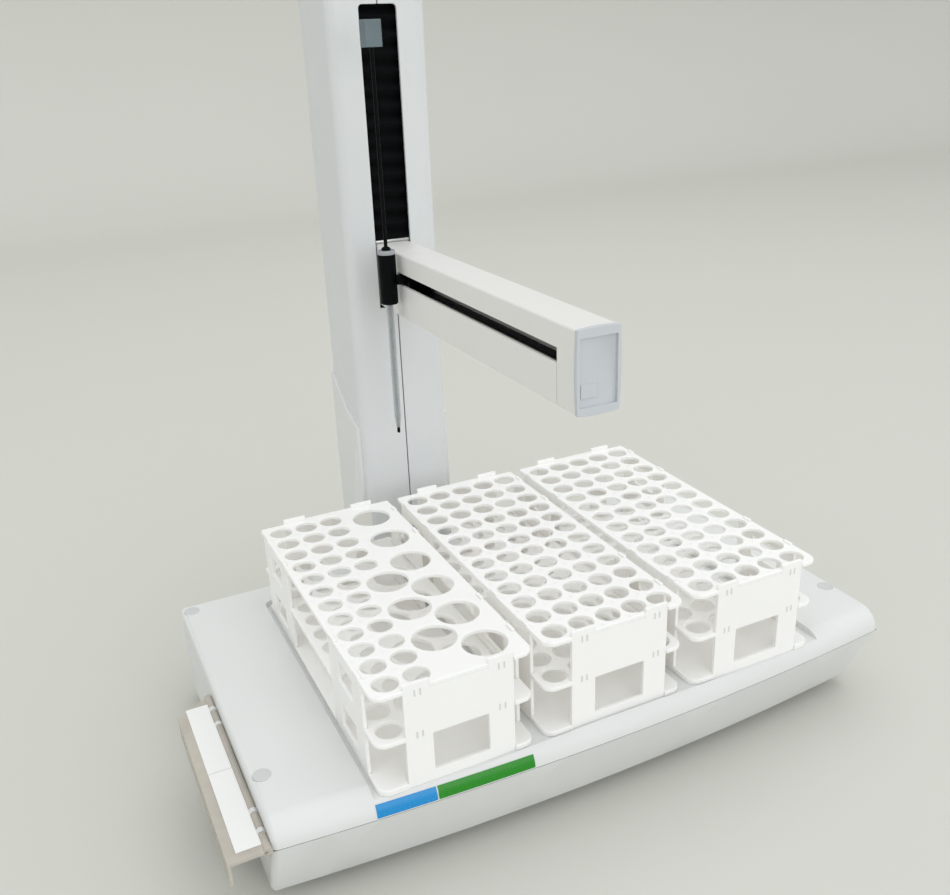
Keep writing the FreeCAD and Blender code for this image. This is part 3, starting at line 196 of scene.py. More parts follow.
def clear_moulding(name, hex_colour, roughness, clearness):
    """Thin clear plastic: what lies behind shows through its tint, under a soft gloss with scuffs.

    clearness is the share of light that each of its two faces lets straight through.
    """
    material = new_material(name)
    tree = material.node_tree
    place = add_node(tree, "ShaderNodeTexCoord")
    scuffs = add_node(tree, "ShaderNodeTexNoise", None, {
        "Vector": place.outputs["Object"],
        "Scale": 1.0 / (SCUFF_MM * MM),
        "Detail": 4.0,
    })
    gloss = add_node(tree, "ShaderNodeMapRange", None, {
        "Value": scuffs.outputs["Fac"],
        "To Min": roughness,
        "To Max": roughness + 0.12,
    })
    haze = add_node(tree, "ShaderNodeMapRange", None, {
        "Value": scuffs.outputs["Fac"],
        "To Min": clearness - 0.05,
        "To Max": clearness + 0.05,
    })
    skin = add_node(tree, "ShaderNodeBsdfPrincipled", None, {
        "Base Color": linear(hex_colour),
        "Roughness": gloss.outputs["Result"],
        "IOR": 1.58,
    })
    tint = add_node(tree, "ShaderNodeBsdfTransparent", None, {"Color": linear(hex_colour)})
    both = add_node(tree, "ShaderNodeMixShader", None, {
        "Fac": haze.outputs["Result"],
        1: skin.outputs["BSDF"],
        2: tint.outputs["BSDF"],
    })
    add_node(tree, "ShaderNodeOutputMaterial", None, {"Surface": both.outputs["Shader"]})
    return material


# A moulded finish gives two tones, its roughness, the size of its grain and the grain's height.
# A drawn metal gives its tone, its roughness, the width of its lines and the axis they run along.

# Painted structural foam: the big shells have a fine leathery spray grain and a soft sheen.
deck_paint = moulded("Painted structural foam deck", "#E4E5E3", "#DFE1DF", 0.46, 0.9, 0.02)
skirt_paint = moulded("Painted structural foam skirt", "#E1E2E0", "#DBDDDB", 0.48, 0.9, 0.02)
# Powder-coated sheet: slight orange peel, a cooler white than the mouldings.
tower_coat = moulded("Powder-coated tower sheet", "#DEE0E0", "#D9DCDC", 0.42, 1.6, 0.02)
shroud_coat = moulded("Moulded shroud", "#E4E5E3", "#DEE0DE", 0.40, 1.1, 0.02)
arm_coat = moulded("Powder-coated arm sheet", "#E9E8E4", "#E4E3DF", 0.44, 1.6, 0.02)
# The root has the arm's coat painted a shade lighter: a painted highlight for the brighter light on its
# face.
root_coat_painted_lighter = moulded("Powder-coated arm root, painted lighter", "#ECEBE7", "#E7E6E2", 0.42, 1.6, 0.02)
# Moulded ABS of the end cap: blue-grey, matt, dry to the eye.
cap_abs = moulded("Moulded ABS end cap", "#CACED2", "#C4C8CD", 0.50, 0.7, 0.015)
# Polypropylene: waxy white, and light travels into it and through its thin walls. A faint warm emission
# also paints a glow on the edges, rims and insides of the racks: painted light, from no lamp.
rack_polypropylene_painted_glow = moulded(
    "Moulded polypropylene rack, painted glow", "#F8F8F6", "#F5F5F2", 0.34, 1.2, 0.01, 45.0,
    {
        "Subsurface Weight": 0.15,
        "Subsurface Radius": (1.0, 0.9, 0.8),
        "Subsurface Scale": 0.002,
        # The emission is painted light: a faint warm glow on a part that is no lamp.
        "Emission Color": linear("#FFEEDA"),
        "Emission Strength": 0.03,
    },
)
# Rubber of the feet and the belts, and of the dark strip of painted shade in the seam: dark, with no
# gloss.
foot_rubber = moulded("Moulded rubber", "#202020", "#262626", 0.80, 0.6, 0.02)
belt_rubber = moulded("Belt rubber", "#1B1B1C", "#222223", 0.70, 0.5, 0.02)
# Plastic plugs of the deck: satin, a shade darker than the paint round them.
plug_plastic = moulded("Moulded plug", "#D0D3D2", "#C9CCCB", 0.40, 0.7, 0.01)
# Fine tool marks and cloth threads hide part of the gloss of these blacks.
dull = {"Specular IOR Level": 0.06}
# Acetal: dense black with a low satin sheen.
black_acetal = moulded("Turned black acetal", "#08090B", "#0C0D0F", 0.40, 0.5, 0.005, 60.0, dull)
# Nylon: mid grey, with a soft turned sheen.
ring_nylon = moulded("Turned grey nylon", "#A6A8AC", "#9DA0A4", 0.38, 0.5, 0.005)
# Drawn steel: a dark, even grey inside the clear sheath.
metal = {"Metallic": 1.0}
probe_core = moulded("Drawn steel probe", "#65676B", "#5E6064", 0.32, 0.4, 0.004, 20.0, metal)
# Coated cloth of the bellows: black, dull, with a little dust.
bellows_cloth = moulded("Coated bellows cloth", "#08090B", "#101113", 0.62, 0.8, 0.02, 12.0, dull)
# Matt sheet behind the arm's slot: black, without any sparkle.
shutter_sheet = moulded("Matt black shutter sheet", "#090A0B", "#0E0F10", 0.60, 0.8, 0.01, 60.0, dull)
# Lacquer on the motors, and the dark mouldings of sockets: black with a low sheen.
motor_lacquer = moulded("Lacquered motor", "#1A1A1C", "#212123", 0.45, 0.8, 0.01)
socket_plastic = moulded("Moulded black socket", "#17181A", "#1E1F21", 0.48, 0.6, 0.01)
# Glass-filled plastic of the pump: warm grey and dry.
pump_plastic = moulded("Moulded grey pump body", "#A29E94", "#9A968C", 0.50, 0.8, 0.015)
# Aluminium: the casting has a coarse skin, the milled brackets a fine one.
cast_alloy = moulded("Cast aluminium", "#B7BABD", "#ACAFB3", 0.45, 0.8, 0.03, 20.0, metal)
bracket_alloy = moulded("Milled aluminium", "#C4C7CA", "#BABDC1", 0.38, 0.5, 0.01, 20.0, metal)
# Ground rods and brushed trim: bright, with fine lines along their length.
ground_steel_x = drawn_metal("Ground steel rod along the base", "#C7C9CC", 0.24, 0.35, 0)
ground_steel_y = drawn_metal("Ground steel rod along the arm", "#C7C9CC", 0.24, 0.35, 1)
ground_steel_z = drawn_metal("Ground steel rod up the tower", "#C7C9CC", 0.24, 0.35, 2)
trim_alloy = drawn_metal("Brushed aluminium trim", "#DADCDD", 0.30, 0.3, 0)
# Clear polycarbonate: the block is cast and milled, the sheath a thin drawn tube, the flap smoky.
clear_block_plastic = clear_moulding("Milled clear block", "#8C9DA3", 0.14, 0.45)
clear_tube = clear_moulding("Drawn clear tube", "#E8EBEC", 0.10, 0.72)
flap_plastic = clear_moulding("Smoky polycarbonate flap", "#E6E1D8", 0.18, 0.50)
# Printed vinyl: smooth, faintly glossy film.
label_vinyl = moulded("White vinyl label", "#F3F3F1", "#EEEEEC", 0.30, 2.5, 0.004)
badge_blue = moulded("Blue vinyl badge", "#0A8FD2", "#0A8BCD", 0.26, 2.5, 0.004)
badge_green = moulded("Green vinyl badge", "#178A0C", "#16860C", 0.26, 2.5, 0.004)
# The same plastic as the racks, painted darker: painted shade round the small hooks.
snap_shade_plastic = moulded("Painted shade of snap hooks", "#DEDDDA", "#D9D8D5", 0.40, 1.0, 0.01)


# Forms and pieces

UP = (0, 0, 1)
SHARP_DEGREES = 28.0
EDGE_DEGREES = 30.0
FLAT_DEGREES = 0.4
WELD = 1e-6
DEBURRED = (0.3, 0.3)


def finish_mesh(mesh):
    """Smooth shading, with hard lines where two faces meet at a clear angle."""
    mesh.shade_smooth()
    mesh.set_sharp_from_angle(angle=math.radians(SHARP_DEGREES))


def taken_mesh(name, form):
    """The mesh of a form, which is then let go."""
    mesh = bpy.data.meshes.new(name)
    form.to_mesh(mesh)
    form.free()
    return mesh


def finished_mesh(name, form):
    mesh = taken_mesh(name, form)
    finish_mesh(mesh)
    return mesh


def new_object(name, mesh, material):
    mesh.materials.clear()
    mesh.materials.append(material)
    obj = bpy.data.objects.new(name, mesh)
    bpy.context.scene.collection.objects.link(obj)
    return obj


def soften(obj, width_mm, segments=2):
    """Rounds the edges of a piece, as moulding, bending and deburring leave them."""
    bevel = obj.modifiers.new("Softened edges", "BEVEL")
    bevel.width = width_mm * MM
    bevel.segments = segments
    bevel.limit_method = "ANGLE"
    bevel.angle_limit = math.radians(EDGE_DEGREES)
    bevel.harden_normals = True
    bevel.use_clamp_overlap = True
    return obj


def merged_form(node):
    """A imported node's form, with its loose triangles welded and joined into whole faces."""
    form = bmesh.new()
    form.from_mesh(frame["nodes"][node].data)
    bmesh.ops.remove_doubles(form, verts=form.verts, dist=WELD)
    flat = math.radians(FLAT_DEGREES)
    bmesh.ops.dissolve_limit(form, angle_limit=flat, verts=form.verts, edges=form.edges)
    return form


def refined(node, material, width_mm, segments=2):
    """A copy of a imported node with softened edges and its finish, in the node's place."""
    name = node + "_finish"
    obj = new_object(name, finished_mesh(name, merged_form(node)), material)
    soften(obj, width_mm, segments)
    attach(obj, frame["nodes"][node]["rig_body"])
    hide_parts(node)


def painted(node, material):
    """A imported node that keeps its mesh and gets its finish."""
    mesh = frame["nodes"][node].data
    mesh.materials.clear()
    mesh.materials.append(material)


def turned_ring(form, radius, along, segments):
    """One ring of points of a turned form, or its single point on the axis."""
    if radius == 0:
        return [form.verts.new((0.0, 0.0, along * MM))]
    ring = []
    reach = radius * MM
    for step in range(segments):
        angle = 2.0 * math.pi * step / segments
        ring.append(form.verts.new((reach * math.cos(angle), reach * math.sin(angle), along * MM)))
    return ring


def join_rings(form, low, high, segments):
    for step in range(segments):
        following = (step + 1) % segments
        if len(low) == 1:
            form.faces.new((low[0], high[following], high[step]))
        elif len(high) == 1:
            form.faces.new((low[step], low[following], high[0]))
        else:
            form.faces.new((low[step], low[following], high[following], high[step]))


def lathe_mesh(name, centre, axis, profile, segments=48):
    """A turned form. profile holds (radius, distance along the axis) in millimetres.

    It starts and ends on the axis, or comes back to where it starts.
    """
    form = bmesh.new()
    rings = [turned_ring(form, radius, along, segments) for radius, along in profile]
    for low, high in zip(rings, rings[1:]):
        join_rings(form, low, high, segments)
    turn = Vector(UP).rotation_difference(Vector(axis)).to_matrix().to_4x4()
    form.transform(Matrix.Translation(Vector(centre)) @ turn)
    bmesh.ops.remove_doubles(form, verts=form.verts, dist=WELD)
    bmesh.ops.recalc_face_normals(form, faces=form.faces)
    return finished_mesh(name, form)


def sleeve(bore, outer, tall, foot, head):
    """The profile of a turned sleeve, or of a solid pin where the bore is zero.

    foot and head are the chamfers of its ends, as depth and length.
    """
    profile = [
        (bore, 0), (outer - foot[0], 0), (outer, foot[1]),
        (outer, tall - head[1]), (outer - head[0], tall), (bore, tall),
    ]
    return profile + [(bore, 0)] if bore else profile


def plain_rod(radius, tall):
    return [(0, 0), (radius, 0), (radius, tall), (0, tall)]


def turned_piece(name, body, centre, axis, profile, material, segments=48):
    obj = new_object(name, lathe_mesh(name, centre, axis, profile, segments), material)
    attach(obj, body)
    return obj


def foot_of(node):
    """The middle of a node's underside."""
    low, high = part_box(node)
    return ((low.x + high.x) / 2, (low.y + high.y) / 2, low.z)


def height_of(node):
    """A node's height in millimetres."""
    low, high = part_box(node)
    return (high.z - low.z) / MM


def probe_turned(node, body, profile, material, segments=48):
    """A turned piece for a node on the probe's axis, its profile measured from the node's foot."""
    name = node + "_finish"
    piece = turned_piece(name, body, foot_of(node), UP, profile, material, segments)
    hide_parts(node)


def joined_mesh(name, meshes):
    form = bmesh.new()
    for mesh in meshes:
        form.from_mesh(mesh)
        bpy.data.meshes.remove(mesh)
    return finished_mesh(name, form)


def block_mesh(name, low, high, edge_mm=0.0):
    """A box between two corners in metres, with round edges where edge_mm is given."""
    form = bmesh.new()
    bmesh.ops.create_cube(form, size=1.0)
    low = Vector(low)
    high = Vector(high)
    form.transform(Matrix.Translation((low + high) / 2) @ Matrix.Diagonal((*(high - low), 1.0)))
    if edge_mm > 0:
        bmesh.ops.bevel(
            form, geom=form.edges[:], offset=edge_mm * MM, segments=2, profile=0.5, affect="EDGES"
        )
    return finished_mesh(name, form)


def grid_form(rows):
    """A sheet of faces between the points of a grid, which is given row by row."""
    form = bmesh.new()
    grid = [[form.verts.new(point) for point in row] for row in rows]
    for first, second in zip(grid, grid[1:]):
        for step in range(len(first) - 1):
            form.faces.new((first[step], first[step + 1], second[step + 1], second[step]))
    return form


# Geometry Nodes trees

FLOATS = {"data_type": "FLOAT"}
VECTORS = {"data_type": "FLOAT_VECTOR"}
POINT_VECTORS = {"data_type": "FLOAT_VECTOR", "domain": "POINT"}
HOLE_SIDES = 44
PLATE_WELD = 0.000005


def modifier_inputs(modifier, values):
    """Sets a Geometry Nodes modifier's inputs by their names in the tree."""
    for item in modifier.node_group.interface.items_tree:
        if item.in_out == "INPUT" and item.name in values:
            modifier[item.identifier] = values[item.name]


def grown(name, seed, tree, values, material):
    """Runs a tree on a seed mesh and returns its result as a plain mesh."""
    source = bpy.data.objects.new(name + "_seed", seed)
    bpy.context.scene.collection.objects.link(source)
    modifier = source.modifiers.new("Nodes", "NODES")
    modifier.node_group = tree
    modifier_inputs(modifier, {**values, "Material": material})
    evaluated = source.evaluated_get(bpy.context.evaluated_depsgraph_get())
    mesh = bpy.data.meshes.new_from_object(evaluated)
    mesh.name = name
    bpy.data.objects.remove(source)
    finish_mesh(mesh)
    return mesh


def start_tree(name, inputs):
    tree = bpy.data.node_groups.new(name, "GeometryNodeTree")
    tree.interface.new_socket("Geometry", in_out="INPUT", socket_type="NodeSocketGeometry")
    for label, kind in inputs:
        tree.interface.new_socket(label, in_out="INPUT", socket_type=kind)
    tree.interface.new_socket("Geometry", in_out="OUTPUT", socket_type="NodeSocketGeometry")
    return tree, add_node(tree, "NodeGroupInput")


def end_tree(tree, entry, geometry):
    real = add_node(tree, "GeometryNodeRealizeInstances", None, {"Geometry": geometry})
    coat = add_node(tree, "GeometryNodeSetMaterial", None, {
        "Geometry": real.outputs["Geometry"],
        "Material": entry.outputs["Material"],
    })
    add_node(tree, "NodeGroupOutput", None, {"Geometry": coat.outputs["Geometry"]})


def cut_outline(tree, entry, spread):
    """The plate's outline, drawn in by the rim, and a circle for each hole, as curves."""
    radius = add_node(tree, "GeometryNodeInputNamedAttribute", FLOATS, {"Name": "hole_radius"})
    is_hole = add_node(tree, "FunctionNodeCompare", {"operation": "GREATER_THAN"}, {
        0: radius.outputs[0],
        1: 0.0,
    })
    parts = add_node(tree, "GeometryNodeSeparateGeometry", {"domain": "POINT"}, {
        "Geometry": entry.outputs["Geometry"],
        "Selection": is_hole.outputs[0],
    })
    wide = add_node(tree, "ShaderNodeMath", {"operation": "ADD"}, {
        0: radius.outputs[0],
        1: entry.outputs["Rim"],
    })
    circle = add_node(tree, "GeometryNodeCurvePrimitiveCircle", None, {
        "Resolution": HOLE_SIDES,
        "Radius": 1.0,
    })
    here = add_node(tree, "GeometryNodeInputPosition")
    inward = add_node(tree, "ShaderNodeVectorMath", {"operation": "SCALE"}, {
        0: here.outputs[0],
        "Scale": -1.0,
    })
    marked = add_node(tree, "GeometryNodeStoreNamedAttribute", POINT_VECTORS, {
        "Geometry": circle.outputs["Curve"],
        "Name": "spread",
        "Value": inward.outputs[0],
    })
    holes = add_node(tree, "GeometryNodeInstanceOnPoints", None, {
        "Points": parts.outputs["Selection"],
        "Instance": marked.outputs["Geometry"],
        "Scale": wide.outputs[0],
    })
    cut = add_node(tree, "GeometryNodeRealizeInstances", None, {"Geometry": holes.outputs[0]})
    minus_rim = add_node(tree, "ShaderNodeMath", {"operation": "MULTIPLY"}, {
        0: entry.outputs["Rim"],
        1: -1.0,
    })
    drawn_in = add_node(tree, "ShaderNodeVectorMath", {"operation": "SCALE"}, {
        0: spread,
        "Scale": minus_rim.outputs[0],
    })
    inset = add_node(tree, "GeometryNodeSetPosition", None, {
        "Geometry": parts.outputs["Inverted"],
        "Offset": drawn_in.outputs[0],
    })
    outline = add_node(tree, "GeometryNodeMeshToCurve", None, {"Mesh": inset.outputs[0]})
    lines = add_node(tree, "GeometryNodeJoinGeometry", None, {"Geometry": cut.outputs[0]})
    tree.links.new(outline.outputs[0], lines.inputs["Geometry"])
    return lines.outputs[0]


def marked_face(tree, lines, spread):
    """Fills the curves to one flat face whose points keep the curves' spread."""
    flat = add_node(tree, "GeometryNodeFillCurve", None, {"Curve": lines})
    points = add_node(tree, "GeometryNodeCurveToPoints", {"mode": "EVALUATED"}, {"Curve": lines})
    nearest = add_node(tree, "GeometryNodeSampleNearest", {"domain": "POINT"}, {
        "Geometry": points.outputs[0],
    })
    found = add_node(tree, "GeometryNodeSampleIndex", POINT_VECTORS, {
        "Geometry": points.outputs[0],
        "Value": spread,
        "Index": nearest.outputs[0],
    })
    kept = add_node(tree, "GeometryNodeStoreNamedAttribute", POINT_VECTORS, {
        "Geometry": flat.outputs[0],
        "Name": "spread",
        "Value": found.outputs[0],
    })
    return kept.outputs["Geometry"]


def pushed(tree, shape, top, spread, rim, side):
    """Moves the top of a raised face along its spread, out for a side of 1 and in for -1."""
    reach = add_node(tree, "ShaderNodeMath", {"operation": "MULTIPLY"}, {0: rim, 1: side})
    push = add_node(tree, "ShaderNodeVectorMath", {"operation": "SCALE"}, {
        0: spread,
        "Scale": reach.outputs[0],
    })
    moved = add_node(tree, "GeometryNodeSetPosition", None, {
        "Geometry": shape,
        "Selection": top,
        "Offset": push.outputs[0],
    })
    return moved.outputs["Geometry"]


def raised_plate(tree, entry, shape, spread):
    """Raises a face in three steps: a bevel outwards, the straight wall and a bevel inwards."""
    rim = entry.outputs["Rim"]
    wall = add_node(tree, "ShaderNodeMath", {"operation": "MULTIPLY_ADD"}, {
        0: rim,
        1: -2.0,
        2: entry.outputs["Thickness"],
    })
    straight_up = add_node(tree, "ShaderNodeCombineXYZ", None, {"Z": 1.0})
    top = None
    for height, side in ((rim, 1.0), (wall.outputs[0], 0.0), (rim, -1.0)):
        raised = add_node(tree, "GeometryNodeExtrudeMesh", None, {
            "Mesh": shape,
            "Offset": straight_up.outputs[0],
            "Offset Scale": height,
            "Individual": False,
        })
        if top:
            tree.links.new(top, raised.inputs["Selection"])
        top = raised.outputs["Top"]
        shape = raised.outputs["Mesh"]
        if side != 0.0:
            shape = pushed(tree, shape, top, spread, rim, side)
    return shape


def perforated_plate_tree():
    """Fills an outline with round holes in it and raises it to a plate with bevelled rims.

    The seed holds the outline's edges and one loose point for each hole. Its attributes are
    hole_radius, which is zero on the outline, and spread, which points out of the plate there.
    """
    tree, entry = start_tree("Perforated plate", [
        ("Level", "NodeSocketFloat"),
        ("Thickness", "NodeSocketFloat"),
        ("Rim", "NodeSocketFloat"),
        ("Material", "NodeSocketMaterial"),
    ])
    stored = add_node(tree, "GeometryNodeInputNamedAttribute", VECTORS, {"Name": "spread"})
    spread = stored.outputs[0]
    face = marked_face(tree, cut_outline(tree, entry, spread), spread)
    under = add_node(tree, "GeometryNodeFlipFaces", None, {"Mesh": face})
    shape = raised_plate(tree, entry, face, spread)
    both = add_node(tree, "GeometryNodeJoinGeometry", None, {"Geometry": shape})
    tree.links.new(under.outputs[0], both.inputs["Geometry"])
    closed = add_node(tree, "GeometryNodeMergeByDistance", None, {
        "Geometry": both.outputs[0],
        "Distance": PLATE_WELD,
    })
    lift = add_node(tree, "ShaderNodeCombineXYZ", None, {"Z": entry.outputs["Level"]})
    level = add_node(tree, "GeometryNodeSetPosition", None, {
        "Geometry": closed.outputs[0],
        "Offset": lift.outputs[0],
    })
    end_tree(tree, entry, level.outputs[0])
    return tree


def marks_tree():
    """Puts one small bar on each point of the seed: moulded marks and snap hooks."""
    tree, entry = start_tree("Moulded marks", [
        ("Size", "NodeSocketVector"),
        ("Material", "NodeSocketMaterial"),
    ])
    bar = add_node(tree, "GeometryNodeMeshCube", None, {"Size": entry.outputs["Size"]})
    bars = add_node(tree, "GeometryNodeInstanceOnPoints", None, {
        "Points": entry.outputs["Geometry"],
        "Instance": bar.outputs["Mesh"],
    })
    end_tree(tree, entry, bars.outputs[0])
    return tree


plate_tree = perforated_plate_tree()
mark_tree = marks_tree()


def point_mesh(name, points):
    mesh = bpy.data.meshes.new(name)
    mesh.from_pydata(points, [], [])
    return mesh


# Racks

# The plates' sizes: the pitch of the tube places, the first place's distance from the edges, the
# radii of the small and large places, the large places' columns, the fit between snapped sheets,
# the thickness of a panel and the bevel round every edge.
PITCH = 20.5 * MM
MARGIN = 13.25 * MM
SMALL = 8.5 * MM
LARGE = 15.0 * MM
LARGE_OUTER_X = 72.0 * MM
LARGE_INNER_X = 46.0 * MM
COLUMNS = 5
ROWS = 12
FIT = 0.1 * MM
PANEL = 2.5 * MM
RIM = 0.45 * MM


def outward(outline):
    """The step from each corner of an anticlockwise loop that moves both its edges out by one."""
    steps = []
    count = len(outline)
    for index, corner in enumerate(outline):
        before = Vector(corner) - Vector(outline[index - 1])
        after = Vector(outline[(index + 1) % count]) - Vector(corner)
        first = Vector((before.y, -before.x)).normalized()
        second = Vector((after.y, -after.x)).normalized()
        both = first + second
        steps.append(both * (2.0 / both.length_squared))
    return steps


def plate_seed(name, outline, holes):
    """Seed of a perforated plate: its outline and the centres of its holes, flat, in metres."""
    count = len(outline)
    points = [(x, y, 0.0) for x, y in outline] + [(x, y, 0.0) for x, y, radius in holes]
    mesh = bpy.data.meshes.new(name)
    mesh.from_pydata(points, [(index, (index + 1) % count) for index in range(count)], [])
    radii = [0.0] * count + [radius for x, y, radius in holes]
    mesh.attributes.new("hole_radius", "FLOAT", "POINT").data.foreach_set("value", radii)
    steps = []
    for step in outward(outline):
        steps += [step.x, step.y, 0.0]
    steps += [0.0, 0.0, 0.0] * len(holes)
    mesh.attributes.new("spread", "FLOAT_VECTOR", "POINT").data.foreach_set("vector", steps)
    return mesh


def full_places():
    return [(column * PITCH, -row * PITCH, SMALL) for column in range(COLUMNS) for row in range(ROWS)]


def mixed_places():
    """Two columns of small places and the rear of a third, with large places beside and before it."""
    places = [(column * PITCH, -row * PITCH, SMALL) for column in range(2) for row in range(ROWS)]
    places += [(2 * PITCH, -row * PITCH, SMALL) for row in range(5)]
    places += [(LARGE_OUTER_X, -(0.5 + 2 * row) * PITCH, LARGE) for row in range(6)]
    places += [(LARGE_INNER_X, -(5.5 + 2 * row) * PITCH, LARGE) for row in range(3)]
    return places


def placed(node, places):
    """Tube places, from where the first one lies in a node's plate."""
    low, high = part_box(node)
    return [(low.x + MARGIN + x, high.y - MARGIN + y, radius) for x, y, radius in places]


def arc_points(centre, radius, start, end, steps):
    points = []
    for step in range(steps + 1):
        angle = math.radians(start + (end - start) * step / steps)
        points.append((centre[0] + radius * math.cos(angle), centre[1] + radius * math.sin(angle)))
    return points


def notched_side(x, inner_x, spans, downwards):
    """Points along one long edge, with a notch for each span, towards the front if downwards."""
    points = []
    for low, high in spans:
        first, last = (high, low) if downwards else (low, high)
        points += [(x, first), (inner_x, first), (inner_x, last), (x, last)]
    return points


def panel_spans(side):
    """The lengths of the side panels along Y, front one first."""
    low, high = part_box("rack_sides_" + side)
    panel_length = 62.0 * MM
    return [(low.y, low.y + panel_length), (high.y - panel_length, high.y)]


def tab_spans(side):
    """The tabs of the side panels along Y, two on each panel."""
    spans = []
    inset = 4.5 * MM
    tab = 8.0 * MM
    for low, high in panel_spans(side):
        spans += [(low + inset, low + inset + tab), (high - inset - tab, high - inset)]
    return spans


def rack_outline(side, node, horned):
    """The outline of a rack's plate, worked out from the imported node's box and its neighbours.

    A horned plate lets the end panel's horns and the side panels' tabs through. The others stop
    at the whole panels.
    """
    low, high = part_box(node)
    ends_low, ends_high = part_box("rack_ends_" + side)
    left = ends_low.x - FIT
    right = ends_high.x + FIT
    face = ends_low.y
    step = face + PANEL + FIT
    depth = PANEL + FIT
    ear = 8.0 * MM
    rear = 2.0 * MM
    front = [(left, low.y), (left, step), (right, step), (right, low.y)]
    spans = panel_spans(side)
    if horned:
        horn = 17.5 * MM + FIT
        front[2:2] = [
            (left + horn, step), (left + horn, face), (right - horn, face), (right - horn, step),
        ]
        spans = tab_spans(side)
    spans = [(first - FIT, last + FIT) for first, last in spans]
    outline = arc_points((low.x + ear, low.y + ear), ear, 180.0, 270.0, 8)
    outline += front
    outline += arc_points((high.x - ear, low.y + ear), ear, 270.0, 360.0, 8)
    outline += notched_side(high.x, high.x - depth, spans, False)
    outline += arc_points((high.x - rear, high.y - rear), rear, 0.0, 90.0, 4)
    outline += arc_points((low.x + rear, high.y - rear), rear, 90.0, 180.0, 4)
    outline += notched_side(low.x, low.x + depth, spans[::-1], True)
    return outline


def rack_piece(name, side, seed, tree, values, material):
    """A piece of a rack that a tree makes from its seed."""
    obj = new_object(name, grown(name, seed, tree, values, material), material)
    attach(obj, "rack_" + side)
    return obj


def rack_plate(level, side, places, horned=False):
    """One perforated or plain plate of a rack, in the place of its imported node."""
    node = "rack_" + level + "_" + side
    low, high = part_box(node)
    seed = plate_seed(node + "_seed", rack_outline(side, node, horned), placed(node, places))
    values = {"Level": low.z, "Thickness": high.z - low.z, "Rim": RIM}
    plate = rack_piece(node + "_finish", side, seed, plate_tree, values, rack_polypropylene_painted_glow)
    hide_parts(node)


def rack_marks(side, places):
    """Small raised position marks, a pair beside each small tube place."""
    node = "rack_top_" + side
    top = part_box(node)[1].z
    pair_step = 1.3 * MM
    points = []
    for x, y, radius in placed(node, places):
        if radius < LARGE:
            corner_x = x - 0.5 * PITCH
            corner_y = y - 0.5 * PITCH
            points += [(corner_x, corner_y, top), (corner_x + pair_step, corner_y, top)]
    seed = point_mesh("rack_marks_seed", points)
    values = {"Size": Vector((0.7, 2.2, 0.3)) * MM}
    rack_piece("rack_marks_" + side, side, seed, mark_tree, values, rack_polypropylene_painted_glow)


def snap_marks(side):
    """Pairs of small hooks on the end panels, near the top corners and at the middle plate, in a darker
    tone that paints the shade round them.
    """
    low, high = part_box("rack_ends_" + side)
    columns = (low.x + 9.4 * MM, high.x - 8.4 * MM)
    levels = (high.z - 7.2 * MM, high.z - 37.6 * MM)
    half_pair = 1.9 * MM
    points = []
    for y in (low.y, high.y):
        for x in columns:
            for z in levels:
                points += [(x - half_pair, y, z), (x + half_pair, y, z)]
    seed = point_mesh("snap_marks_seed", points)
    values = {"Size": Vector((1.0, 0.4, 4.6)) * MM}
    rack_piece("snap_marks_" + side, side, seed, mark_tree, values, snap_shade_plastic)


def dress_racks():
    for side, places in (("left", mixed_places()), ("middle", full_places()), ("right", full_places())):
        rack_plate("top", side, places, horned=True)
        rack_plate("shelf", side, places)
        rack_plate("bottom", side, [])
        refined("rack_ends_" + side, rack_polypropylene_painted_glow, 0.5)
        refined("rack_sides_" + side, rack_polypropylene_painted_glow, 0.5)
        rack_marks(side, places)
        snap_marks(side)


# Base


def front_bow(low, high):
    """The radius of the deck's bowed front, between the corners of its box."""
    bow = 12.0 * MM
    half = (high.x - low.x) / 2
    return (half ** 2 + bow ** 2) / (2 * bow)


def thickened(obj, thickness_mm, offset):
    """Gives a surface its thickness, inwards for an offset of -1 and outwards for 1."""
    sheet = obj.modifiers.new("Sheet", "SOLIDIFY")
    sheet.thickness = thickness_mm * MM
    sheet.offset = offset


def seam_seal():
    """A dark foam strip in the joint between the two shells, along the front and both ends: painted
    shade that darkens the seam's gap.
    """
    low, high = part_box("top_cover")
    set_back = 0.55 * MM
    rear_y = high.y - 1.0 * MM
    heights = (low.z - 0.04 * MM, low.z - 0.76 * MM)
    radius = front_bow(low, high) - set_back
    steps = 40
    path = [(low.x + set_back, rear_y)]
    for step in range(steps + 1):
        x = low.x + set_back + (high.x - low.x - 2 * set_back) * step / steps
        across = x - (low.x + high.x) / 2
        path.append((x, low.y + set_back + radius - math.sqrt(radius ** 2 - across ** 2)))
    path.append((high.x - set_back, rear_y))
    rows = [[(x, y, z) for z in heights] for x, y in path]
    shade_strip = new_object("seam_seal", taken_mesh("seam_seal", grid_form(rows)), foot_rubber)
    thickened(shade_strip, 0.2, -1.0)
    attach(shade_strip, "base")


def lip_badge(name, x0_mm, x1_mm, material):
    """A thin bare plate between two places along X, which follows the deck's round lip and its bow."""
    low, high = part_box("top_cover")
    lip = 16.0 * MM
    upper_degrees = 55.0
    covered_degrees = 31.5
    far = front_bow(low, high)
    columns = 12
    rows = 10
    grid = []
    for column in range(columns + 1):
        x = (x0_mm + (x1_mm - x0_mm) * column / columns) * MM
        line = []
        for row in range(rows + 1):
            angle = math.radians(upper_degrees + covered_degrees * row / rows)
            reach = far - lip + lip * math.sin(angle)
            across = x - (low.x + high.x) / 2
            y = low.y + far - math.sqrt(reach ** 2 - across ** 2)
            line.append((x, y, high.z - lip + lip * math.cos(angle)))
        grid.append(line)
    mesh = taken_mesh(name, grid_form(grid))
    mesh.shade_smooth()
    badge = new_object(name, mesh, material)
    thickened(badge, 0.4, 1.0)
    soften(badge, 0.15)
    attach(badge, "base")


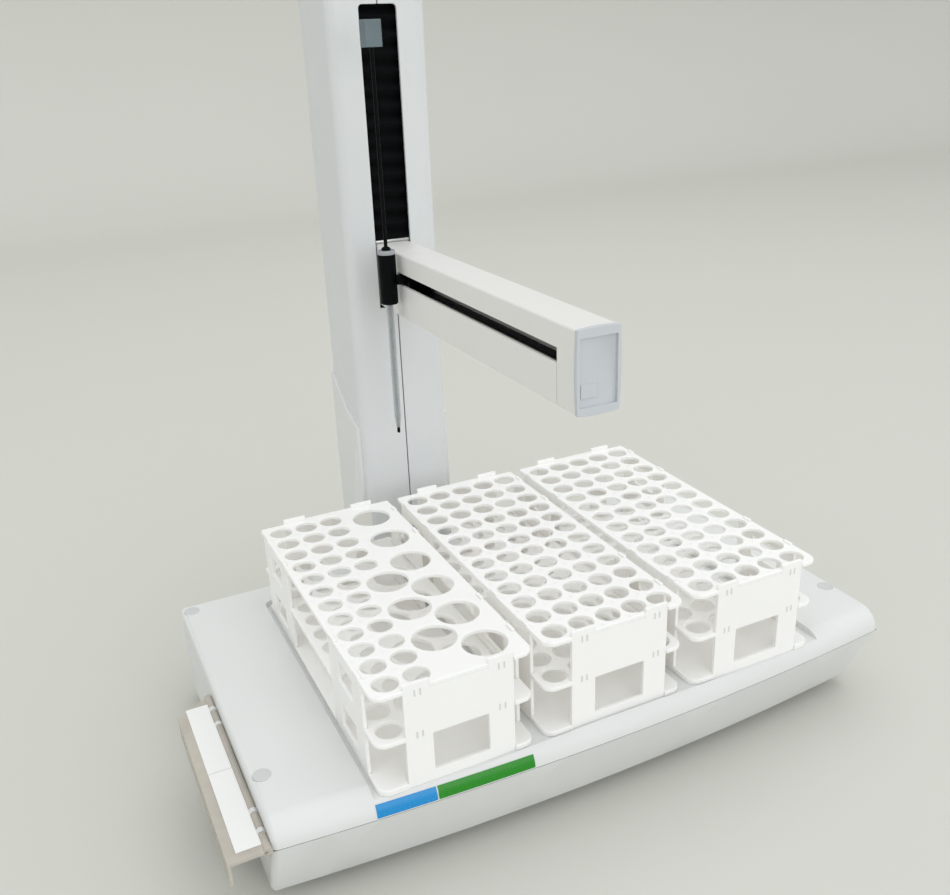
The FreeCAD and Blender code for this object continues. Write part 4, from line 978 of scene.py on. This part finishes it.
def corner_set(node, level, radius, profile, material):
    """Four turned forms, one in each corner of a node's box, which stand for the node."""
    low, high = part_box(node)
    turned = []
    for x in (low.x + radius * MM, high.x - radius * MM):
        for y in (low.y + radius * MM, high.y - radius * MM):
            turned.append(lathe_mesh("corner_form", (x, y, level), UP, profile))
    piece = new_object(node + "_finish", joined_mesh(node + "_finish", turned), material)
    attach(piece, "base")
    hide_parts(node)


def dress_base():
    refined("top_cover", deck_paint, 0.5)
    refined("base_pan", skirt_paint, 0.5)
    foot = 11.0
    foot_top = 9.9
    profile = [(0, 0), (foot - 1.6, 0), (foot - 0.3, 1.2), (foot, foot_top), (0, foot_top)]
    corner_set("feet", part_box("feet")[0].z, foot, profile, foot_rubber)
    plug = 6.0
    stem = 3.0
    stem_foot = -3.4
    head_foot = -1.6
    profile = [
        (0, stem_foot), (stem, stem_foot), (stem, head_foot), (plug, head_foot),
        (plug, -0.25), (plug - 0.3, 0), (0, 0),
    ]
    corner_set("screw_plugs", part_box("screw_plugs")[1].z, plug, profile, plug_plastic)
    # A dark strip in the seam between the shells paints the shade of its gap.
    seam_seal()
    lip_badge("lip_badge_blue", -164.6, -125.3, badge_blue)
    lip_badge("lip_badge_green", -124.3, -57.5, badge_green)
    refined("rear_fittings", socket_plastic, 0.3)
    refined("power_switch", black_acetal, 0.4)


def paint_drives():
    """The drives, mostly hidden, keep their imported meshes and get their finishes."""
    for node, material in (
        ("x_guide_rods", ground_steel_x),
        ("x_rail_brackets", bracket_alloy),
        ("x_belt", belt_rubber),
        ("x_motor", motor_lacquer),
        ("x_drive_pulley", bracket_alloy),
        ("x_idler_pulley", bracket_alloy),
        ("z_guide_rods", ground_steel_z),
        ("z_motor", motor_lacquer),
        ("z_lead_screw", ground_steel_z),
        ("y_guide_rod", ground_steel_y),
        ("y_belt", belt_rubber),
        ("y_motor", motor_lacquer),
        ("y_drive_pulley", bracket_alloy),
        ("y_idler_pulley", bracket_alloy),
    ):
        painted(node, material)


# Pump and its flap


def dress_pump():
    refined("pump_bed", pump_plastic, 0.6)
    refined("pump_rotor", pump_plastic, 0.3)
    for number in (1, 2, 3):
        pump_roller("pump_roller_" + str(number))
    refined("pump_cover", flap_plastic, 0.6)
    flap_label()
    flap_rolls()


def pump_roller(node):
    """A small roller on its own pin, which turns about X."""
    low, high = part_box(node)
    centre = (low + high) / 2
    profile = sleeve(1.55, 4.5, (high.x - low.x) / MM, DEBURRED, DEBURRED)
    place = (low.x, centre.y, centre.z)
    roller = turned_piece(node + "_finish", node, place, (1, 0, 0), profile, ring_nylon, 32)
    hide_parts(node)


def flap_label():
    """The bare label on the flap's plate, in two halves with a fine joint between them."""
    low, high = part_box("pump_cover")
    front = low.y + 7.0 * MM
    rear = low.y + 158.0 * MM
    left = low.x + 6.6 * MM
    right = low.x + 22.1 * MM
    plate_top = high.z - 1.7 * MM
    film = 0.12 * MM
    half_joint = 0.2 * MM
    middle = (front + rear) / 2
    halves = []
    for y0, y1 in ((front, middle - half_joint), (middle + half_joint, rear)):
        halves.append(block_mesh("label", (left, y0, plate_top), (right, y1, plate_top + film)))
    label = new_object("flap_label", joined_mesh("flap_label", halves), label_vinyl)
    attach(label, "pump_cover")


def flap_rolls():
    """The rolled edge of the flap about its hinge line, between the lugs and beyond them."""
    low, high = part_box("pump_cover")
    roll = 2.6
    hinge_inset = 2.7 * MM
    stretches = ((0.0, 15.2), (38.8, 129.2), (152.8, 168.0))
    rolls = []
    for start, end in stretches:
        profile = sleeve(0.0, roll, end - start, DEBURRED, DEBURRED)
        foot = (high.x - hinge_inset, low.y + start * MM, high.z - hinge_inset)
        rolls.append(lathe_mesh("roll", foot, (0, 1, 0), profile, 24))
    rolled = new_object("flap_rolls", joined_mesh("flap_rolls", rolls), flap_plastic)
    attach(rolled, "pump_cover")


# Tower


def dress_tower():
    refined("tower_left_shell", tower_coat, 0.5)
    refined("tower_right_shell", tower_coat, 0.5)
    refined("tower_cap", tower_coat, 1.2, 3)
    refined("tower_shroud", shroud_coat, 0.7, 3)
    refined("tower_foot", cast_alloy, 0.8)
    hang_bellows()


def hang_bellows():
    """The folded cloth, stretched down so that its foot comes to just above the arm's top, at the metal
    strip.
    """
    low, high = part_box("bellows")
    arm_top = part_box("arm_root")[1].z
    strip_room = 2.6 * MM
    foot_room = low.z - (arm_top + strip_room)
    form = merged_form("bellows")
    for vert in form.verts:
        share = (high.z - vert.co.z) / (high.z - low.z)
        vert.co.z -= foot_room * share
    bmesh.ops.recalc_face_normals(form, faces=form.faces)
    mesh = finished_mesh("bellows_finish", form)
    cloth = soften(new_object("bellows_finish", mesh, bellows_cloth), 0.35)
    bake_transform(cloth)
    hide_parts("bellows")


# Arm


def dress_arm():
    refined("arm_root", root_coat_painted_lighter, 0.5)
    refined("arm_cover", arm_coat, 0.5)
    refined("arm_side_cover", arm_coat, 0.4)
    refined("arm_end_cap", cap_abs, 0.5, 3)
    refined("slot_shutter", shutter_sheet, 0.2)
    end_strip()


def end_strip():
    """The metal strip that clamps the foot of the bellows above the arm."""
    name = "bellows_end_strip"
    low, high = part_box("bellows")
    arm_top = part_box("arm_root")[1].z
    side_gap = 2.6 * MM
    proud = 1.4 * MM
    behind = 2.0 * MM
    strip_low = (low.x + side_gap, low.y - proud, arm_top + 0.4 * MM)
    strip_high = (high.x - side_gap, low.y + behind, arm_top + 2.5 * MM)
    strip = new_object(name, block_mesh(name, strip_low, strip_high, 0.3), trim_alloy)
    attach(strip, "arm")


# Probe


def dress_probe():
    refined("probe_carriage", black_acetal, 0.3)
    holder_radius = 6.8
    rod_bore = 1.46
    profile = sleeve(2.72, holder_radius, height_of("probe_holder"), (0.6, 0.6), (0.3, 0.4))
    probe_turned("probe_holder", "probe_carriage", profile, black_acetal, 64)
    profile = sleeve(rod_bore, holder_radius, height_of("holder_ring"), (0.3, 0.3), (0.5, 0.5))
    probe_turned("holder_ring", "probe_carriage", profile, ring_nylon, 64)
    tall = height_of("holder_nut")
    nut = 3.5
    profile = [
        (rod_bore, 0), (nut, 0), (nut, tall - 1.0), (nut - 1.1, tall), (rod_bore, tall), (rod_bore, 0),
    ]
    probe_turned("holder_nut", "probe_carriage", profile, black_acetal)
    dress_sheath()
    shaft = 1.2
    profile = [(0, 0), (0.7, 0), (shaft, 0.8), (shaft, 5.0), (0, 5.0)]
    probe_turned("probe_tip", "probe", profile, black_acetal, 32)
    profile = plain_rod(1.4, height_of("probe_rod"))
    probe_turned("probe_rod", "probe", profile, black_acetal, 32)
    refined("probe_block", clear_block_plastic, 0.6)


def dress_sheath():
    """The clear tube with its drawn-in foot, and the steel core that shows through it."""
    tall = height_of("probe_sheath")
    wall_out = 2.7
    wall_in = 1.95
    foot_in = 1.25
    taper = 9.0
    profile = [
        (foot_in, 0.2), (1.5, 0), (1.6, 0.3), (wall_out, taper), (wall_out, tall - 0.3), (2.5, tall),
        (2.1, tall), (wall_in, tall - 0.4), (wall_in, taper), (foot_in, 0.2),
    ]
    probe_turned("probe_sheath", "probe", profile, clear_tube)
    core = plain_rod(1.15, tall)
    turned_piece("probe_core", "probe", foot_of("probe_sheath"), UP, core, probe_core, 32)


# Studio


def studio():
    """A sheet of paper over the floor that turns up behind the object in one sweep."""
    half_width = 8.0
    near = -6.0
    back = 3.2
    top = 6.0
    radius = 0.8
    sweep_steps = 12
    line = [(near, 0.0), (back - radius, 0.0)]
    for step in range(1, sweep_steps + 1):
        angle = math.radians(90.0 * step / sweep_steps)
        line.append((back - radius + radius * math.sin(angle), radius - radius * math.cos(angle)))
    line.append((back, top))
    rows = [[(x, y, z) for x in (-half_width, half_width)] for y, z in line]
    mesh = taken_mesh("floor", grid_form(rows))
    mesh.shade_smooth()
    paper = moulded("Pale studio paper", "#D3D3CB", "#D0D0C8", 0.9, 3.0, 0.01, 900.0)
    new_object("floor", mesh, paper)


def soft_light(name, place, target, size, power):
    light = bpy.data.lights.new(name, "AREA")
    light.shape = "SQUARE"
    light.size = size
    light.energy = power
    obj = bpy.data.objects.new(name, light)
    bpy.context.scene.collection.objects.link(obj)
    obj.location = place
    obj.rotation_euler = (Vector(target) - Vector(place)).to_track_quat("-Z", "Y").to_euler()


def lights():
    """Even air all round and two large soft lamps.

    The camera, mirrored light and clear pieces see the tone of pale paper in place of the air.
    """
    world = bpy.data.worlds.new("Studio air")
    bpy.context.scene.world = world
    world.use_nodes = True
    tree = world.node_tree
    tree.nodes.clear()
    air = add_node(tree, "ShaderNodeBackground", None, {"Color": linear("#F9FBFE"), "Strength": 0.97})
    seen = add_node(tree, "ShaderNodeBackground", None, {"Color": linear("#C6C8C1"), "Strength": 1.0})
    path = add_node(tree, "ShaderNodeLightPath")
    mirrored = add_node(tree, "ShaderNodeMath", {"operation": "MAXIMUM"}, {
        0: path.outputs["Is Camera Ray"],
        1: path.outputs["Is Glossy Ray"],
    })
    shown = add_node(tree, "ShaderNodeMath", {"operation": "MAXIMUM"}, {
        0: mirrored.outputs[0],
        1: path.outputs["Is Transmission Ray"],
    })
    both = add_node(tree, "ShaderNodeMixShader", None, {
        "Fac": shown.outputs[0],
        1: air.outputs["Background"],
        2: seen.outputs["Background"],
    })
    add_node(tree, "ShaderNodeOutputWorld", None, {"Surface": both.outputs["Shader"]})
    aim = (0.0, 0.0, 0.1)
    soft_light("overhead", (0.2, 0.4, 2.4), aim, 3.5, 18.0)
    soft_light("front", (0.2, -2.6, 0.9), aim, 1.5, 9.0)


def camera():
    """A view from the left front, a little rolled, worked out from the grids of tube places."""
    place = Vector((-0.30274, -0.6335, 0.50182))
    ahead = Vector((0.39453, 0.83648, -0.38032)).normalized()
    right = Vector((0.89729, -0.43991, -0.03672)).normalized()
    up = right.cross(ahead)
    turn = Matrix((right, up, -ahead)).transposed()
    data = bpy.data.cameras.new("Camera")
    data.sensor_width = 36.0
    data.lens = 37.21
    data.clip_start = 0.01
    data.clip_end = 50.0
    obj = bpy.data.objects.new("Camera", data)
    bpy.context.scene.collection.objects.link(obj)
    obj.matrix_world = Matrix.Translation(place) @ turn.to_4x4()
    bpy.context.scene.camera = obj


dress_racks()
dress_base()
dress_pump()
dress_tower()
dress_arm()
dress_probe()
paint_drives()
studio()
lights()
camera()
bpy.context.scene.view_settings.view_transform = "Standard"
